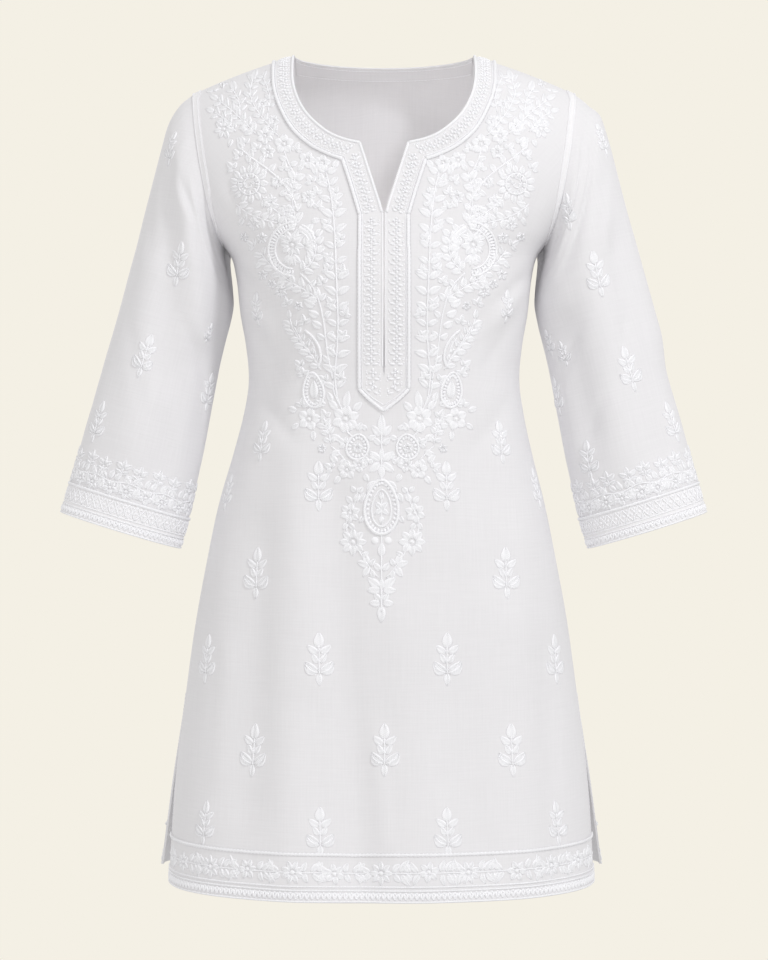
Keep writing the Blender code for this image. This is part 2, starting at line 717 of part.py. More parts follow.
def make_panels(collection, sheets):
    """The front, the back and the two sleeves."""
    for name in ("front", "back"):
        halves = [sheets[name, side] for side in (-1, 1)]
        cloth_wall(collection, name + "_panel", halves, -CLOTH, 0.0, COTTON)
    for name, side in (("sleeve_left", 1), ("sleeve_right", -1)):
        cloth_wall(collection, name, [sheets["sleeve", side]], -CLOTH, 0.0, COTTON)


def make_neck(collection, sheets):
    """The embroidered neck and placket band on the front, and the facing inside the back neck."""
    foot = placket_row(PLACKET_ROWS[PLACKET_FOOT])
    halves = [part_of(sheets["front", side], slice(foot, None), slice(0, 3)) for side in (-1, 1)]
    rises = [cord_rises(half, ((1, 2),), along_rows=False) for half in halves]
    cloth_wall(
        collection, "neck_placket_band", halves, SEAM_GAP, SEAM_GAP + TRIM, EMBROIDERED, rises
    )
    facings = [
        part_of(sheets["back", side], slice(-2, None), slice(0, BACK_NECK_COLUMNS + 1))
        for side in (-1, 1)
    ]
    high = -CLOTH - SEAM_GAP
    cloth_wall(collection, "back_neck_facing", facings, high - TRIM, high, COTTON)


def make_edges(collection, sheets):
    """Hem bands, cuff bands, armhole strips and the facings of the side vents."""
    hem_rows = slice(0, len(HEM_BAND_HEIGHTS))
    for name in ("front", "back"):
        halves = [part_of(sheets[name, side], hem_rows, slice(None)) for side in (-1, 1)]
        rises = [cord_rises(half, CORD_ROWS) for half in halves]
        high = SEAM_GAP + TRIM
        cloth_wall(collection, "hem_band_" + name, halves, SEAM_GAP, high, EMBROIDERED, rises)
    cuff_rows = slice(-len(CUFF_BAND_HEIGHTS), None)
    last = len(CUFF_BAND_HEIGHTS) - 1
    cords = [tuple(last - index for index in pair) for pair in CORD_ROWS]
    for word, side in (("left", 1), ("right", -1)):
        band = part_of(sheets["sleeve", side], cuff_rows, slice(None))
        high = SEAM_GAP + TRIM
        rises = [cord_rises(band, cords)]
        cloth_wall(collection, "cuff_band_" + word, [band], SEAM_GAP, high, EMBROIDERED, rises)
        strip_rows = slice(-ARMHOLE_ROWS, None)
        vent_rows = slice(0, len(HEM_BAND_HEIGHTS) + VENT_ROWS)
        for name in ("front", "back"):
            strip = part_of(sheets[name, side], strip_rows, slice(-2, None))
            title = "armhole_strip_" + name + "_" + word
            cloth_wall(collection, title, [strip], high, SEAM_GAP, COTTON)
            facing = part_of(sheets[name, side], vent_rows, slice(-2, None))
            inside = -CLOTH - SEAM_GAP
            title = "vent_facing_" + name + "_" + word
            cloth_wall(collection, title, [facing], inside - TRIM, inside, COTTON)


def main():
    for item in list(bpy.data.objects):
        bpy.data.objects.remove(item, do_unlink=True)
    collection = bpy.data.collections.new(COLLECTION)
    bpy.context.scene.collection.children.link(collection)
    sheets = make_sheets()
    make_panels(collection, sheets)
    make_neck(collection, sheets)
    make_edges(collection, sheets)


main()
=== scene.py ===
"""The looks of a white embroidered cotton kurta tunic around its solids."""

import math  # noqa: E402

import bpy  # noqa: E402
import numpy as np  # noqa: E402
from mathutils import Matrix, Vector  # noqa: E402
from mathutils.bvhtree import BVHTree  # noqa: E402


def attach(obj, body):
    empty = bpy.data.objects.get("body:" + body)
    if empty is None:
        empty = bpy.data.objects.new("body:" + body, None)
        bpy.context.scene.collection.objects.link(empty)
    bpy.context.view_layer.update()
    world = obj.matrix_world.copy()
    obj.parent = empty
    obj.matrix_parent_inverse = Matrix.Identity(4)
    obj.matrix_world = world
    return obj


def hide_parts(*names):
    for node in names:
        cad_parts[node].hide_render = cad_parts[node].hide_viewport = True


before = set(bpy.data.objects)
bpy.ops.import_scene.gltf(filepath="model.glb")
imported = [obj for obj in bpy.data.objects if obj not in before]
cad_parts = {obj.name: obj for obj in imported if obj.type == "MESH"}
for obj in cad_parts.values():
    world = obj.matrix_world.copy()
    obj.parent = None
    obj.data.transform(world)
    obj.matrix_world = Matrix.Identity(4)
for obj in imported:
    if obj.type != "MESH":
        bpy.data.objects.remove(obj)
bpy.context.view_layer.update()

# ---------------------------------------------------------------- sizes, in millimetres
# a face is -1 for the front and 1 for the back, a side 1 for the wearer's left and -1 for the right
FACES = (-1, 1)
SIDES = (-1, 1)
NECK_POINT = (89.0, 19.0)
SHOULDER_TIP = (191.0, -19.0)
SHOULDER_RISE = 2.5
CROWN_DROP = {-1: 95.0, 1: 62.0}
CROWN_POWER = 1.8
ROUNDNESS = 2.3
BACK_NECK_Z = 17.0
BAND_WIDTH = 25.5
BAND_CORD = 0.82
SLIT_HALF_GAP = 0.45
HEM_CENTRE_Z = {-1: -803.0, 1: -799.0}
HEM_SIDE_Z = {-1: -799.0, 1: -794.0}
HEM_HEIGHTS = (0.0, 11.0, 14.5, 43.0, 46.5)
VENT_TOP_Z = -612.0
UNDERARM_Z = -181.0
VENT_OPENING = {-1: 22.0, 1: 46.0}
VENT_FLARE_BACK = 15.0
VENT_CURVE = 1.6
HIP_SWAY = -2.5
SWAY_TOP_Z = -300.0
SWAY_LENGTH = 160.0
VENT_STRIP = 10.5
ARMHOLE_STRIP = 8.0
STRIP_X = SHOULDER_TIP[0] - ARMHOLE_STRIP
BACK_FACING_DROP = 12.0
VENT_ROWS = 5
SIDE_ROWS = 15
ARMHOLE_ROWS = 10

# height, half width, front depth, back depth of the body's level sections
SECTIONS = np.array((
    (20, 226, 87, 86), (-20, 222, 90, 90), (-84, 212, 98, 96), (-126, 195, 107, 97),
    (-160, 170, 114, 96), (-181, 153, 118, 95), (-202, 147.5, 120.5, 93.5), (-240, 143, 119.5, 90),
    (-272, 137.5, 116, 88), (-306, 135.2, 112.5, 87), (-340, 140, 111, 88.5),
    (-376, 148.5, 111.5, 92), (-424, 161.5, 113, 97), (-484, 174, 115.5, 102),
    (-544, 185, 118, 106), (-612, 194.5, 121, 110), (-700, 204.5, 125, 114), (-808, 210, 129, 119),
), float)
# x and z of the armhole seam from the shoulder tip to the underarm
ARMHOLE = np.array((
    (191, -19), (187, -52), (180.5, -92), (173, -130), (166, -156), (160, -171), (153, -181),
), float)
# inner x, inner z, outer x, outer z of the neck band, from the underarm level to the shoulder
NECK_ROWS = np.array((
    (0, -181, 25.0, -181), (0, -164, 25.0, -165.5), (0, -148, 25.0, -150), (11.2, -113, 33.0, -123),
    (22.3, -78, 41.5, -96.5), (40.8, -73.5, 53.5, -92), (57.0, -65, 71.5, -82.5),
    (72.5, -50.5, 89.5, -66), (82.5, -33.5, 102.5, -42), (88.0, -12.5, 109.5, -19),
    (89, 19, 111.5, 12),
), float)
NOTCH_ROW = 4
# side, centre and band-edge heights of the rows that follow the placket's pointed foot
PLACKET_ROWS = ((-354, -366, -352), (-325, -341, -317), (-296, -305, -299))
# outer x, outer z, inner x, inner z, half depth, middle y of the sleeve's slanting sections
SLEEVE_RINGS = np.array((
    (191, -19, 153, -181, 56, 1), (203.5, -29.5, 153.5, -187.5, 58, 1),
    (214, -46, 153, -195, 60, 1), (221, -68, 152, -204.5, 61, 1), (228, -95, 151, -216, 61, 2),
    (236, -127, 150.5, -230, 60, 2), (245, -162, 153.5, -247, 58, 2),
    (255, -199, 158.5, -266, 56, 2), (265.5, -238, 163.5, -287, 54, 1),
    (276.5, -277, 168.5, -313, 52, -1), (287.5, -316, 174.5, -346, 50, -3),
    (298.5, -355, 182, -386, 48, -6), (312, -405.2, 194.7, -441.2, 45, -9),
    (320.8, -436, 203.5, -472, 44, -11),
), float)
LAST_RING = len(SLEEVE_RINGS) - 1
BLEND_RINGS = 7

# top x, top z, foot x, foot z, half width, rise of the body's folds and small creases
FOLDS = {
    -1: (
        (92, -235, 114, -312, 17, -3.2), (84, -352, 118, -520, 21, -3.0),
        (124, -440, 141, -790, 27, 3.6), (160, -560, 172, -790, 22, -3.0),
        (30, -520, 34, -800, 30, 2.6), (-48, -400, -20, -800, 23, -3.8),
        (-80, -370, -88, -800, 26, 4.0), (-118, -440, -132, -740, 21, -3.4),
        (-104, -215, -120, -345, 18, -3.4),
    ),
    1: (
        (96, -230, 84, -330, 20, -3.0), (66, -340, 92, -780, 25, -4.0),
        (112, -420, 134, -790, 27, 3.6), (18, -420, 24, -790, 30, 3.0),
        (-42, -360, -58, -780, 25, -4.0), (-104, -430, -126, -790, 27, 3.4),
        (-88, -225, -74, -330, 20, -3.0),
    ),
}
CREASES = {
    -1: (
        (146, -196, 112, -232, 7, -1.5), (140, -214, 100, -262, 8, 1.1),
        (134, -236, 104, -292, 7, -1.2), (-145, -194, -108, -240, 7, -1.6),
        (-140, -216, -106, -270, 8, 1.2), (-132, -250, -104, -306, 7, -1.2),
        (150, -120, 138, -176, 8, -1.0), (-152, -112, -136, -172, 8, -1.1),
        (126, -320, 96, -372, 9, -1.2), (-122, -322, -88, -366, 9, -1.1),
        (60, -560, 66, -700, 10, -0.8), (-6, -640, 4, -760, 9, 0.7), (98, -600, 106, -740, 9, 0.8),
        (-64, -610, -60, -730, 9, -0.8), (-150, -560, -158, -700, 9, 0.9),
        (176, -640, 182, -760, 8, 0.8),
    ),
    1: (
        (144, -194, 104, -240, 8, -1.4), (-144, -196, -100, -246, 8, -1.4),
        (136, -236, 96, -276, 8, 1.0), (-134, -238, -92, -282, 8, 1.0),
        (120, -318, 70, -350, 9, -1.2), (-122, -320, -66, -346, 9, -1.2),
        (40, -300, 18, -352, 10, -1.0), (-40, -560, -44, -720, 10, 0.8),
        (58, -600, 70, -740, 10, 0.8), (150, -600, 160, -740, 9, -0.9),
        (-150, -610, -160, -740, 9, -0.9),
    ),
}
FOLD_FADE = 60.0
FOLD_SHARE = 1.5
CREASE_FADE = 34.0
CREASE_SHARE = 2.3
EDGE_FADE = 40.0
# ring and degrees around at the top and the foot, spread in degrees, rise
SLEEVE_FOLDS = {
    1: (
        (1.5, 2, 9.0, 2, 40, 4.0), (1.0, 52, 5.0, 108, 20, -2.6), (5.5, 52, 11.5, 66, 19, -2.6),
        (4.0, 84, 11.5, 100, 22, 2.6), (6.5, 128, 11.0, 122, 19, -3.0),
        (4.0, 262, 11.0, 250, 24, -3.0), (3.0, 300, 11.0, 300, 22, 2.4),
        (0.4, 118, 3.6, 150, 9, -1.5), (1.2, 98, 3.8, 128, 8, 0.9), (7.2, 108, 8.8, 150, 9, -1.2),
        (7.8, 60, 9.6, 94, 9, -0.9), (3.6, 30, 5.6, 62, 10, 0.8), (0.6, 226, 3.2, 206, 10, -1.3),
        (7.0, 214, 9.0, 248, 10, -1.1), (1.2, 66, 2.6, 124, 8, -1.0), (2.0, 50, 4.4, 104, 8, -1.1),
        (2.0, 64, 4.2, 114, 8, 0.7), (5.0, 57, 9.0, 91, 8, 0.8), (9.0, 78, 10.8, 140, 9, -1.1),
    ),
    -1: (
        (2.5, 40, 9.5, 104, 19, -3.4), (3.0, 76, 7.5, 126, 19, 2.8), (6.0, 62, 11.5, 86, 22, 2.6),
        (8.0, 126, 11.5, 118, 18, -2.2), (4.0, 255, 11.0, 262, 24, -3.0),
        (3.0, 305, 11.0, 295, 22, 2.4), (0.4, 112, 3.2, 150, 9, -1.5), (1.6, 92, 4.4, 134, 8, 0.9),
        (7.4, 112, 9.0, 152, 9, -1.2), (8.2, 52, 10.0, 84, 9, -0.9), (4.4, 22, 6.4, 50, 10, -0.8),
        (0.6, 224, 3.2, 204, 10, -1.3), (7.0, 212, 9.0, 246, 10, -1.1),
        (3.0, 146, 11.0, 150, 15, -1.9), (1.0, 58, 4.5, 62, 9, 0.8), (2.2, 84, 5.0, 78, 9, -0.9),
    ),
}
SLEEVE_FADE = 1.2
# turn per millimetre along and across, and height, of the waves that make cloth uneven
RIPPLES = (
    (0.021, 0.155, 0.16), (0.047, -0.098, 0.13), (-0.071, 0.061, 0.10), (0.118, 0.033, 0.07),
    (0.013, 0.236, 0.07),
)
SLEEVE_RIPPLE_AROUND = 41.4
SLEEVE_RIPPLE_ALONG = 36.0


# ---------------------------------------------------------------- the worn form
def run_along(points):
    """Distance of each point from the first, along a line of points."""
    return np.concatenate(([0.0], np.cumsum(np.linalg.norm(np.diff(points, axis=0), axis=1))))


def hermite(keys, values, slopes, at):
    """A smooth curve through values, with given slopes at them."""
    cell = np.clip(np.searchsorted(keys, at, "right") - 1, 0, len(keys) - 2)
    step = keys[cell + 1] - keys[cell]
    share = (at - keys[cell]) / step
    if values.ndim > 1:
        step, share = step[:, None], share[:, None]
    rest = 1 - share
    return (
        values[cell] * rest * rest * (1 + 2 * share)
        + values[cell + 1] * share * share * (1 + 2 * rest)
        + (slopes[cell] * rest - slopes[cell + 1] * share) * step * share * rest
    )


def follow(keys, values, at):
    """A smooth curve through a table's values, level beyond its ends."""
    keys, values = np.asarray(keys, float), np.asarray(values, float)
    if keys[0] > keys[-1]:
        keys, values = keys[::-1], values[::-1]
    steps = np.diff(keys)
    rises = np.diff(values) / steps
    middle = (rises[:-1] * steps[1:] + rises[1:] * steps[:-1]) / (steps[1:] + steps[:-1])
    slopes = np.concatenate((rises[:1], middle, rises[-1:]))
    return hermite(keys, values, slopes, np.clip(at, keys[0], keys[-1]))


def ease(value):
    value = np.clip(value, 0.0, 1.0)
    return value * value * (3 - 2 * value)


def section(height, column):
    return follow(SECTIONS[:, 0], SECTIONS[:, column], height)


def shoulder_height(x):
    slope = (SHOULDER_TIP[1] - NECK_POINT[1]) / (SHOULDER_TIP[0] - NECK_POINT[0])
    x = np.abs(x)
    inside = NECK_POINT[1] - slope * (NECK_POINT[0] - x * x / NECK_POINT[0]) / 2
    share = np.clip((x - NECK_POINT[0]) / (SHOULDER_TIP[0] - NECK_POINT[0]), 0.0, 1.0)
    outside = NECK_POINT[1] + slope * (x - NECK_POINT[0]) + 4 * SHOULDER_RISE * share * (1 - share)
    return np.where(x < NECK_POINT[0], inside, outside)


def crown(face, x, height):
    share = np.clip((shoulder_height(x) - height) / CROWN_DROP[face], 0.0, 1.0)
    return (1 - (1 - share) ** CROWN_POWER) ** (1 / CROWN_POWER)


def below_vent_top(height):
    return np.maximum(0.0, (VENT_TOP_Z - height) / (VENT_TOP_Z - HEM_CENTRE_Z[-1]))


def body_width(face, height):
    flare = VENT_FLARE_BACK * below_vent_top(height) ** VENT_CURVE if face > 0 else 0.0
    return section(height, 1) + flare


def fold_rise(folds, fade, x, height):
    total = np.zeros(np.broadcast(x, height).shape)
    for top_x, top_z, foot_x, foot_z, half_width, rise in folds:
        run = (height - top_z) / (foot_z - top_z)
        line = top_x + (foot_x - top_x) * run
        length = math.hypot(foot_z - top_z, foot_x - top_x)
        ends = ease(0.5 + run * length / fade) * ease(0.5 + (1 - run) * length / fade)
        total += rise * ends * np.exp(-(((x - line) / half_width) ** 2))
    return total


def ripple(u, v, seed):
    """A faint unevenness of worn cloth, from a few crossing waves."""
    return sum(
        height * np.sin(along * v + across * u + seed * 1.7 + k * 2.1)
        for k, (along, across, height) in enumerate(RIPPLES)
    )


def body_point(face, side, angle, height):
    """Points of the front or back; angle is 0 on the centre line and a right angle at the side."""
    angle, height = np.broadcast_arrays(np.asarray(angle, float), np.asarray(height, float))
    power = 2 / ROUNDNESS
    sine = np.clip(np.sin(angle), 0.0, 1.0)
    cosine = np.where(angle > math.pi / 2 - 1e-9, 0.0, np.clip(np.cos(angle), 0.0, 1.0))
    x = side * body_width(face, height) * sine ** power
    depth = section(height, 2 if face < 0 else 3)
    opening = VENT_OPENING[face] * below_vent_top(height) ** VENT_CURVE
    y = depth * cosine ** power * crown(face, x, height) + opening
    folds = FOLD_SHARE * fold_rise(FOLDS[face], FOLD_FADE, x, height)
    creases = CREASE_SHARE * fold_rise(CREASES[face], CREASE_FADE, x, height)
    small = (creases + ripple(x, height, face)) * ease((shoulder_height(x) - height) / EDGE_FADE)
    rise = folds * cosine ** 0.5 + small * cosine ** 0.7
    x = x + side * rise * sine + HIP_SWAY * ease((SWAY_TOP_Z - height) / SWAY_LENGTH)
    return np.stack((x, face * (y + rise * cosine), height), axis=-1)


def angle_at(face, x, height):
    share = np.clip(np.asarray(x) / body_width(face, np.asarray(height, float)), 0.0, 1.0)
    return np.arcsin(share ** (ROUNDNESS / 2))


def inset_angle(face, edge_angle, height, distance):
    """The section angle that lies a distance inside an edge."""
    edge_angle, height = np.broadcast_arrays(
        np.asarray(edge_angle, float), np.asarray(height, float)
    )
    edge = body_point(face, 1, edge_angle, height)
    low = np.zeros_like(edge_angle)
    high = edge_angle.copy()
    for _ in range(26):
        middle = (low + high) / 2
        far = np.linalg.norm(body_point(face, 1, middle, height) - edge, axis=-1) > distance
        low = np.where(far, middle, low)
        high = np.where(far, high, middle)
    return (low + high) / 2


def armhole_path():
    """Points along the armhole, with their distance from the shoulder tip."""
    keys = np.arange(len(ARMHOLE), dtype=float)
    fine = np.linspace(0, keys[-1], 121)
    xs, zs = (follow(keys, ARMHOLE[:, column], fine) for column in range(2))
    ys = body_point(-1, 1, angle_at(-1, xs, zs), zs)[:, 1]
    return run_along(np.stack((xs, ys, zs), 1)), xs, zs


ARMHOLE_RUN, ARMHOLE_XS, ARMHOLE_ZS = armhole_path()


def armhole_place(share):
    """x and z on the armhole, from 0 at the shoulder tip to 1 at the underarm."""
    at = np.asarray(share) * ARMHOLE_RUN[-1]
    return np.interp(at, ARMHOLE_RUN, ARMHOLE_XS), np.interp(at, ARMHOLE_RUN, ARMHOLE_ZS)


def side_heights(hem_side_z):
    hem = [hem_side_z + height for height in HEM_HEIGHTS]
    vent = list(np.linspace(hem[-1], VENT_TOP_Z, VENT_ROWS + 1)[1:])
    seam = list(np.linspace(VENT_TOP_Z, UNDERARM_Z, SIDE_ROWS + 1)[1:-1])
    return np.array(hem + vent + seam)


LOW_ROWS = len(side_heights(HEM_SIDE_Z[-1]))
BAND_FOOT_ROW = int(np.argmin(np.abs(side_heights(HEM_SIDE_Z[-1]) - PLACKET_ROWS[1][0])))
SLIT_ROW = int(np.argmin(np.abs(side_heights(HEM_SIDE_Z[-1]) - PLACKET_ROWS[2][0])))


def dense_places(counts):
    """Places between the rows or columns of the solid, which are the whole numbers."""
    places = [cell + k / count for cell, count in enumerate(counts) for k in range(count)]
    return np.array(places + [float(len(counts))])


def dense_rows():
    """Row places, closer together where the cloth turns over the shoulder."""
    counts = [3, 2, 7, 2] + [7] * (VENT_ROWS + SIDE_ROWS) + [4] * (ARMHOLE_ROWS - 1)
    top = len(counts) + 1 - (1 - np.linspace(0, 1, 11)) ** 1.8
    return np.concatenate((dense_places(counts)[:-1], top))


ROWS = dense_rows()
LOW = ROWS <= LOW_ROWS
ARM_ROWS = np.clip(ROWS - LOW_ROWS, 0, ARMHOLE_ROWS)
# the neck band, its cord, the open front in eight columns and the strip at its edge
FRONT_COLUMNS = dense_places([7, 2] + [4] * 8 + [3])
BACK_SHARES = np.concatenate((np.linspace(0, 1, 40), 1 + np.arange(1, 4) / 3))


def band_share(column):
    """Share of the neck band's width at a column place; its outer cord lies beyond the first."""
    beyond = BAND_CORD + (1 - BAND_CORD) * (column - 1)
    return np.where(column <= 1, column * BAND_CORD, beyond)


def lower_rows(values, last):
    """Values at the dense rows below the underarm, from those at the solid's rows."""
    return np.interp(ROWS, np.arange(LOW_ROWS + 1), np.append(values, last))


def hem_drop(face, heights):
    """How far the height of each row changes from the side to the centre line."""
    lift = np.clip((VENT_TOP_Z - heights) / (VENT_TOP_Z - HEM_SIDE_Z[face]), 0.0, 1.0)
    lift[: len(HEM_HEIGHTS)] = 1.0
    return lift * (HEM_CENTRE_Z[face] - HEM_SIDE_Z[face])


def side_edge(face, heights):
    """Angle and height of the outer edge on each row, and the angle of its strip's inner line."""
    edge_x, edge_z = armhole_place(1 - ARM_ROWS / ARMHOLE_ROWS)
    edge_z = np.where(LOW, lower_rows(heights, UNDERARM_Z), edge_z)
    edge = np.where(LOW, math.pi / 2, angle_at(face, edge_x, edge_z))
    strip = inset_angle(face, edge, edge_z, np.where(LOW, VENT_STRIP, ARMHOLE_STRIP))
    return edge, edge_z, strip


def back_neck_height(x):
    return BACK_NECK_Z + (NECK_POINT[1] - BACK_NECK_Z) * (x / NECK_POINT[0]) ** 2


def front_half(side):
    """Dense points of one half of the front: rows by columns."""
    heights = side_heights(HEM_SIDE_Z[-1])
    centre = heights + hem_drop(-1, heights)
    band = centre.copy()
    for side_z, centre_z, band_z in PLACKET_ROWS:
        index = int(np.argmin(np.abs(heights - side_z)))
        centre[index], band[index] = centre_z, band_z

    def neck(column):
        keys = np.arange(len(NECK_ROWS))
        bent = follow(keys[NOTCH_ROW:], NECK_ROWS[NOTCH_ROW:, column], ARM_ROWS)
        straight = np.interp(ARM_ROWS, keys, NECK_ROWS[:, column])
        return np.where(ARM_ROWS < NOTCH_ROW, straight, bent)

    inner_x = np.maximum(neck(0), np.where(ROWS > SLIT_ROW + 1e-6, SLIT_HALF_GAP, 0.0))
    inner_z = np.where(LOW, lower_rows(centre, UNDERARM_Z), neck(1))
    outer_x = np.where(ROWS > LOW_ROWS - 1e-6, NECK_ROWS[0, 2], BAND_WIDTH)
    outer_x = np.where(LOW, outer_x, neck(2))
    outer_z = np.where(LOW, lower_rows(band, UNDERARM_Z), neck(3))
    inner = angle_at(-1, inner_x, inner_z)
    outer = angle_at(-1, outer_x, outer_z)
    edge, edge_z, strip = side_edge(-1, heights)
    strip_z = outer_z + (edge_z - outer_z) * (strip - outer) / (edge - outer)
    angle = np.empty((len(ROWS), len(FRONT_COLUMNS)))
    height = np.empty_like(angle)
    for j, c in enumerate(FRONT_COLUMNS):
        if c <= 2:
            share = band_share(c)
            angle[:, j] = inner + (outer - inner) * share
            height[:, j] = inner_z + (outer_z - inner_z) * share
        elif c <= 10:
            share = (c - 2) / 8
            angle[:, j] = outer + (strip - outer) * share
            height[:, j] = outer_z + (strip_z - outer_z) * np.where(LOW, share * share, share)
        else:
            angle[:, j] = strip + (edge - strip) * (c - 10)
            height[:, j] = strip_z + (edge_z - strip_z) * (c - 10)
    top_in, top_out = NECK_ROWS[-1, 0], NECK_ROWS[-1, 2]
    top_cord = top_in + (top_out - top_in) * BAND_CORD
    ends = (top_in, top_cord, top_out, STRIP_X, SHOULDER_TIP[0])
    seam_x = np.interp(FRONT_COLUMNS, (0, 1, 2, 10, 11), ends)
    seam_z = shoulder_height(seam_x)
    weight = np.clip(ROWS - LOW_ROWS - (ARMHOLE_ROWS - 1), 0, 1)[:, None]
    angle += weight * (angle_at(-1, seam_x, seam_z) - angle[-1])
    height += weight * (seam_z - height[-1])
    points = body_point(-1, side, angle, height)
    points[-1] = np.stack((side * seam_x, 0.0 * seam_x, seam_z), axis=-1)
    return points


def back_half(side):
    """Dense points of one half of the back: rows by columns."""
    heights = side_heights(HEM_SIDE_Z[1])
    edge, edge_z, strip = (line[:, None] for line in side_edge(1, heights))
    drop = lower_rows(hem_drop(1, heights), 0.0)[:, None]
    share = np.clip(BACK_SHARES, 0, 1)[None, :]
    beyond = np.clip(BACK_SHARES - 1, 0, 1)[None, :]
    top_x = STRIP_X * share
    top_z = np.where(top_x < NECK_POINT[0], back_neck_height(top_x), shoulder_height(top_x))
    low = LOW[:, None]
    climb = np.where(low, 0.0, (edge_z - UNDERARM_Z) / (SHOULDER_TIP[1] - UNDERARM_Z))
    angle = strip * share + (angle_at(1, top_x, top_z) - strip[-1] * share) * climb ** 2
    upper = UNDERARM_Z + (top_z - UNDERARM_Z) * climb
    height = np.where(low, edge_z + drop * (1 - share ** 2), upper)
    angle = angle + (edge - angle) * beyond
    height = height + (edge_z - height) * beyond
    points = body_point(1, side, angle, height)
    seam_x = np.where(beyond > 0, STRIP_X + ARMHOLE_STRIP * beyond, top_x)[0]
    seam = np.stack((side * seam_x, 0.0 * seam_x, shoulder_height(seam_x)), axis=-1)
    on_seam = seam_x >= NECK_POINT[0] - 1e-6
    points[-1, on_seam] = seam[on_seam]
    return points


def sleeve_value(ring, column):
    return follow(np.arange(len(SLEEVE_RINGS)), SLEEVE_RINGS[:, column], ring)


def sleeve_oval(ring, around):
    outer_x, outer_z, inner_x, inner_z, depth, middle_y = (sleeve_value(ring, c) for c in range(6))
    cosine, sine = np.cos(around), np.sin(around)
    x = (outer_x + inner_x) / 2 + (outer_x - inner_x) / 2 * cosine
    z = (outer_z + inner_z) / 2 + (outer_z - inner_z) / 2 * cosine
    return np.stack(np.broadcast_arrays(x, middle_y - depth * sine, z), axis=-1)


def sleeve_grid(side, rings, arounds):
    """Dense points of a sleeve: rings by places around."""
    ring, around = np.meshgrid(rings, arounds, indexing="ij")
    point = sleeve_oval(ring, around)
    share = np.where(around > math.pi, 2 * math.pi - around, around) / math.pi
    x, z = armhole_place(share)
    seam = np.empty_like(point)
    for face in FACES:
        chosen = (around > math.pi) == (face > 0)
        seam[chosen] = body_point(face, 1, angle_at(face, x, z), z)[chosen]
    blend = 1 - ease(ring / BLEND_RINGS)
    point = point + (seam - sleeve_oval(np.zeros_like(ring), around)) * blend[..., None]
    middle = (sleeve_oval(ring, 0.0 * ring) + sleeve_oval(ring, 0.0 * ring + math.pi)) / 2
    outward = point - middle
    outward /= np.linalg.norm(outward, axis=-1, keepdims=True)
    folds = np.zeros_like(ring)
    for ring_top, around_top, ring_foot, around_foot, spread, height in SLEEVE_FOLDS[side]:
        length = ring_foot - ring_top
        run = (ring - ring_top) / length
        line = np.radians(around_top + (around_foot - around_top) * run)
        near = 0.5 + run * length / SLEEVE_FADE
        far = 0.5 + (1 - run) * length / SLEEVE_FADE
        turn = (around - line + math.pi) % (2 * math.pi) - math.pi
        folds += height * ease(near) * ease(far) * np.exp(-((turn / math.radians(spread)) ** 2))
    wave = ripple(around * SLEEVE_RIPPLE_AROUND, ring * SLEEVE_RIPPLE_ALONG, side + 3)
    wave *= ease(ring / 1.5) * (0.7 + 0.3 * np.cos(around * 3.0))
    point = point + outward * (FOLD_SHARE * folds + wave)[..., None]
    point[..., 0] *= side
    return point


# ---------------------------------------------------------------- meshes
MM = 0.001
# points closer than this are one
WELD = 0.004


def grid_faces(rows, cols, flip, offset=0):
    index = np.arange(rows * cols).reshape(rows, cols) + offset
    a, b = index[:-1, :-1], index[:-1, 1:]
    c, d = index[1:, 1:], index[1:, :-1]
    quads = np.stack((a, d, c, b) if flip else (a, b, c, d), axis=-1).reshape(-1, 4)
    return quads


class Cloth:
    """A sheet of cloth: welded points, faces, normals and lengths along its threads, in mm."""

    def __init__(self, grids, flips, weaves):
        points = np.concatenate([grid.reshape(-1, 3) for grid in grids])
        weave = np.concatenate([lengths.reshape(-1, lengths.shape[-1]) for lengths in weaves])
        faces, offset = [], 0
        for grid, flip in zip(grids, flips):
            faces.append(grid_faces(*grid.shape[:2], flip, offset))
            offset += grid.shape[0] * grid.shape[1]
        keys = np.round(points / WELD).astype(np.int64)
        _, first, index = np.unique(keys, axis=0, return_index=True, return_inverse=True)
        faces = index.reshape(-1)[np.concatenate(faces)]
        self.grids = grids
        self.points = points[first]
        self.weave = weave[first]
        self.faces = faces
        a, b, c, d = (self.points[faces[:, k]] for k in range(4))
        normal = np.cross(c - a, d - b)
        self.normals = np.zeros_like(self.points)
        for k in range(4):
            np.add.at(self.normals, faces[:, k], normal)
        self.normals /= np.maximum(np.linalg.norm(self.normals, axis=1, keepdims=True), 1e-12)

    def tree(self, rise=0.0):
        points = self.points + self.normals * rise
        return BVHTree.FromPolygons(points.tolist(), [clean(f) for f in self.faces.tolist()])


def clean(face):
    """A face with its repeated corners dropped."""
    out = []
    for corner in face:
        if corner not in out:
            out.append(corner)
    return out


def thread_lengths(grid, mirror=1):
    """Distances along the rows and up the columns of a grid."""
    rows, cols = grid.shape[:2]
    across = np.zeros((rows, cols))
    across[:, 1:] = np.cumsum(np.linalg.norm(np.diff(grid, axis=1), axis=2), axis=1)
    up = np.zeros((rows, cols))
    up[1:] = np.cumsum(np.linalg.norm(np.diff(grid, axis=0), axis=2), axis=0)
    return np.stack((across * mirror, up), axis=-1)


